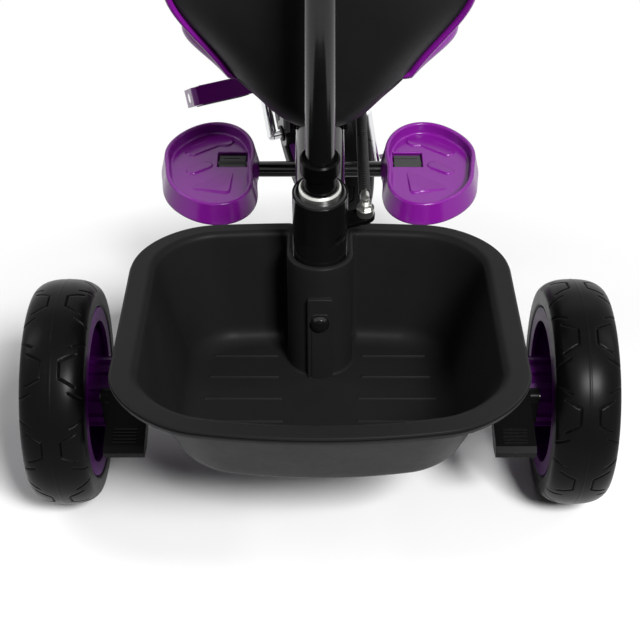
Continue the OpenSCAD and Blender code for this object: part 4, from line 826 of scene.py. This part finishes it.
# %% [markdown]
# The tyres' grooves are darker, read from the groove value that was stored with the points: partly dust,
# partly painted shade in the grooves. The pads have a woven cover: two sine waves across each other make the
# threads.

# %% Tread and weave
# Groove tone: dust and painted shade in the grooves.
GROOVE_DUST_AND_SHADE_TONE = (0.0006, 0.0006, 0.0006, 1)
# Thread tones: the darker one is painted shade in the hollows of the weave.
THREAD_SHADE_TONE, THREAD_HIGH = (0.006, 0.006, 0.007, 1), (0.022, 0.022, 0.024, 1)
THREADS = 3900


def tread(parts):
    """Darker and rougher in the grooves: the darker tone is partly dust, partly painted shade."""
    groove = Wire.node(parts["tree"], "Attribute", {"attribute_name": "groove"}, {}, "Fac")
    tone = blend(parts["tree"], groove, parts["tone"], GROOVE_DUST_AND_SHADE_TONE)
    return {"tone": tone, "rough": parts["rough"] + 0.2 * groove}


def woven(parts):
    """Threads of 1.6 mm both ways: sine waves along x and along y plus z, multiplied.
    The tone falls where the weave sinks, which paints shade between the threads.
    """
    across = Wire.node(parts["tree"], "SeparateXYZ", {}, {"Vector": parts["place"]}, "X")
    lanes = across.socket.node.outputs
    across, along = across * THREADS, (Wire(lanes["Y"]) + Wire(lanes["Z"])) * THREADS
    weave = across.math("SINE", across) * along.math("SINE", along) * 0.5 + 0.5
    return {"tone": blend(parts["tree"], weave, THREAD_SHADE_TONE, THREAD_HIGH),
            "relief": weave + 0.4 * parts["relief"]}


print("thread", round(2 * math.pi / THREADS / MM, 2), "mm")

# %% [markdown]
# Each finish lists its two tones, its roughness and how far that drifts, the size of the grain and the depth
# of the relief. Plastic and rubber on a toy are dull, so most have far less shine than Blender's 0.5.

# %% The finishes
def even_grey(value):
    """The same share of red, green and blue."""
    return (value, value, value)


finishes = {
    "matt": finish("matt_black_moulding", (0.0095, 0.0095, 0.0098), (0.013, 0.013, 0.0134),
                   0.42, 0.1, 0.8, 0.025, shine=0.05),
    "grey": finish("dark_grey_moulding", (0.05, 0.052, 0.05), (0.06, 0.062, 0.06),
                   0.42, 0.1, 0.8, 0.02, shine=0.1),
    "sleek": finish("sleek_black_moulding", even_grey(0.0016), even_grey(0.003),
                    0.27, 0.1, 1.2, 0.01, shine=0.035),
    "gloss": finish("gloss_black_paint", even_grey(0.004), even_grey(0.006),
                    0.17, 0.08, 3.0, 0.006, shine=0.3, coat=0.15),
    "purple": finish("purple_moulding", (0.19, 0.006, 0.255), (0.215, 0.009, 0.28),
                     0.24, 0.08, 1.5, 0.006, shine=0.32),
    # The rims wear a darker copy of the trays' purple: painted shade for the shadow the wheels sit in.
    "rim": finish("rim_shaded_purple_moulding", (0.085, 0.002, 0.135), (0.105, 0.003, 0.16),
                  0.36, 0.1, 1.5, 0.01, shine=0.08),
    "tyre": finish("tyre_foam", even_grey(0.0012), even_grey(0.0026),
                   0.31, 0.1, 0.9, 0.03, shine=0.065, extra=tread),
    "zinc": finish("zinc_plate", (0.56, 0.575, 0.55), (0.66, 0.66, 0.62), 0.36, 0.2, 0.6, 0.01, metal=1.0),
    "chrome": finish("chrome", (0.78, 0.79, 0.81), (0.84, 0.84, 0.85), 0.09, 0.06, 4.0, 0.002, metal=1.0),
    "cover": finish("pad_cover", (0.01, 0.01, 0.011), (0.015, 0.015, 0.016),
                    0.8, 0.1, 0.5, 0.12, extra=woven),
    "foam": finish("grip_foam", even_grey(0.010), even_grey(0.018), 0.85, 0.1, 1.2, 0.18),
    "rubber": finish("sleeve_rubber", even_grey(0.003), even_grey(0.005), 0.3, 0.1, 0.8, 0.02, shine=0.2),
}
print("finishes:", ", ".join(finishes))

# %% [markdown]
# A finish is worn by many solids, so the list goes from finish to solids. A solid that a new piece stands in
# for gets its finish too, because it is still there in the model, only hidden.

# %% Give every piece and solid its finish
worn_by = {
    "gloss": "frame seat_bracket footrest_strut footrest_bar fork handlebar handle_tube handle_bar "
             "basket_screw post_cup brake_pins",
    "matt": "axle_plugs axle_spacers post_bush head_bushes rear_bush_left rear_bush_right fork_bushes "
            "stem handle_tee basket seat_shell",
    "grey": "footrest_clips",
    "sleek": "brake_housings brake_pedal_left brake_pedal_right handle_collar steering_lever",
    "purple": "grip_left grip_right pedal_left pedal_right seat_trim footrest_left footrest_right",
    "rim": "rear_rim_left rear_rim_right rear_cap_left rear_cap_right front_rim",
    "tyre": "rear_tyre_left rear_tyre_right front_tyre",
    "zinc": "rear_axle axle_nuts post_race seat_bolts fork_nut arm_stud stem_bolts lever_bolt steering_rod "
            "rod_ends",
    "chrome": "crank",
    "cover": "seat_cushion back_cushion",
    "foam": "handle_grips",
    "rubber": "rod_sleeve",
}
dressed = 0
for look, names in worn_by.items():
    for name in names.split():
        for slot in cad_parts[name].material_slots:
            slot.material = finishes[look]
            dressed += 1
new_pieces = {"matt": [basket, shell_piece], "tyre": tyres, "purple": trays + [bead_piece], "cover": pads,
              "foam": [foam], "rubber": [sleeve]}
for look, pieces in new_pieces.items():
    for piece in pieces:
        piece.data.materials.append(finishes[look])
print("solids dressed:", dressed, "of", len(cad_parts))

# %% [markdown]
# ## Floor
# In the photograph the trike stands on a white studio floor with a deep soft shadow. Rays from the camera and
# mirror rays see the floor white; light that bounces from it sees it grey, so little of it fills the shadow
# and the undersides. Away from the trike the floor turns into a plain white glow for the same rays, as a
# retouched studio background does. One white material would light the undersides far too much.

# %% Floor
FLOOR_HALF = 6
GREY, PALE, WHITE = (0.2, 0.2, 0.2, 1), (0.95, 0.95, 0.95, 1), (1, 1, 1, 1)
GLOW_FROM, GLOW_RISE = 0.34, 5.0


def seen_directly(tree):
    """One for rays from the camera, mirror rays and rays through clear material; zero for light that
    bounces."""
    camera_ray = Wire.node(tree, "LightPath", {}, {}, "Is Camera Ray")
    rays_out = camera_ray.socket.node.outputs
    direct = camera_ray.math("MAXIMUM", camera_ray, Wire(rays_out["Is Glossy Ray"]))
    return direct.math("MAXIMUM", direct, Wire(rays_out["Is Transmission Ray"]))


corners = [(x * FLOOR_HALF, y * FLOOR_HALF, 0) for x, y in ((-1, -1), (1, -1), (1, 1), (-1, 1))]
floor_mesh = bpy.data.meshes.new("floor")
floor_mesh.from_pydata(corners, [], [(0, 1, 2, 3)])
floor = bpy.data.objects.new("floor", floor_mesh)
scene.collection.objects.link(floor)
white = bpy.data.materials.new("studio_floor")
white.use_nodes = True
tree = white.node_tree
tree.nodes.clear()
grey = Wire.node(tree, "BsdfDiffuse", {}, {"Color": GREY})
pale = Wire.node(tree, "BsdfDiffuse", {}, {"Color": PALE})
glow = Wire.node(tree, "Emission", {}, {"Color": WHITE, "Strength": 1.0})
place = Wire.node(tree, "TexCoord", {}, {}, "Object")
away = Wire.node(tree, "VectorMath", {"operation": "LENGTH"}, {0: place}, "Value")
far = (away - GLOW_FROM) * GLOW_RISE
far = far.math("MINIMUM", far.math("MAXIMUM", far, 0.0), 1.0)
open_floor = Wire.node(tree, "MixShader", {}, {0: far, 1: pale, 2: glow})
both = Wire.node(tree, "MixShader", {}, {0: seen_directly(tree), 1: grey, 2: open_floor})
Wire.node(tree, "OutputMaterial", {}, {"Surface": both}, None)
floor_mesh.materials.append(white)
print("floor", floor.dimensions[:2])

# %% [markdown]
# ## Light
# The key lamp stands behind the camera to the right: the streaks on the right half of both rear tyres show
# where. A weak box above the camera, a wide one ahead and one at either side fill in. The sky is white for
# rays that see it directly, as the floor is, and dim for all others, so the lamps make the shadows.

# %% Lights
DIM_SKY, WHITE_SKY = 0.04, 1.0


def soft_box(name, place, aim, width, height, watts):
    """A rectangular area lamp at a place, turned to look at a point."""
    lamp = bpy.data.objects.new(name, bpy.data.lights.new(name, "AREA"))
    lamp.data.shape = "RECTANGLE"
    lamp.data.size, lamp.data.size_y = width, height
    lamp.data.energy = watts
    place, aim = np.array(place, float), np.array(aim, float)
    away = (place - aim) / np.linalg.norm(place - aim)
    lamp.location = place
    lamp.rotation_euler = (math.acos(away[2]), 0, math.atan2(away[1], away[0]) + math.pi / 2)
    scene.collection.objects.link(lamp)


soft_box("key", (0.8, -1.85, 2.0), (0, 0, 0.15), 0.62, 0.58, 100)
soft_box("above_camera", (0, -1.5, 2.3), (0, 0, 0.15), 1.6, 1.0, 4)
soft_box("ahead", (0, 2.45, 2.55), (0, 0.1, 0.2), 3.0, 0.6, 5)
soft_box("left_strip", (-1.9, 0.3, 1.9), (0, 0.2, 0.2), 0.6, 1.6, 15)
soft_box("right_strip", (1.9, 0.3, 1.9), (0, 0.2, 0.2), 0.6, 1.6, 10)
world = bpy.data.worlds.new("studio")
scene.world = world
world.use_nodes = True
tree = world.node_tree
tree.nodes.clear()
dim = Wire.node(tree, "Background", {}, {"Color": WHITE, "Strength": DIM_SKY})
bright = Wire.node(tree, "Background", {}, {"Color": WHITE, "Strength": WHITE_SKY})
sky = Wire.node(tree, "MixShader", {}, {0: seen_directly(tree), 1: dim, 2: bright})
Wire.node(tree, "OutputWorld", {}, {"Surface": sky}, None)
scene.view_settings.view_transform = "Standard"
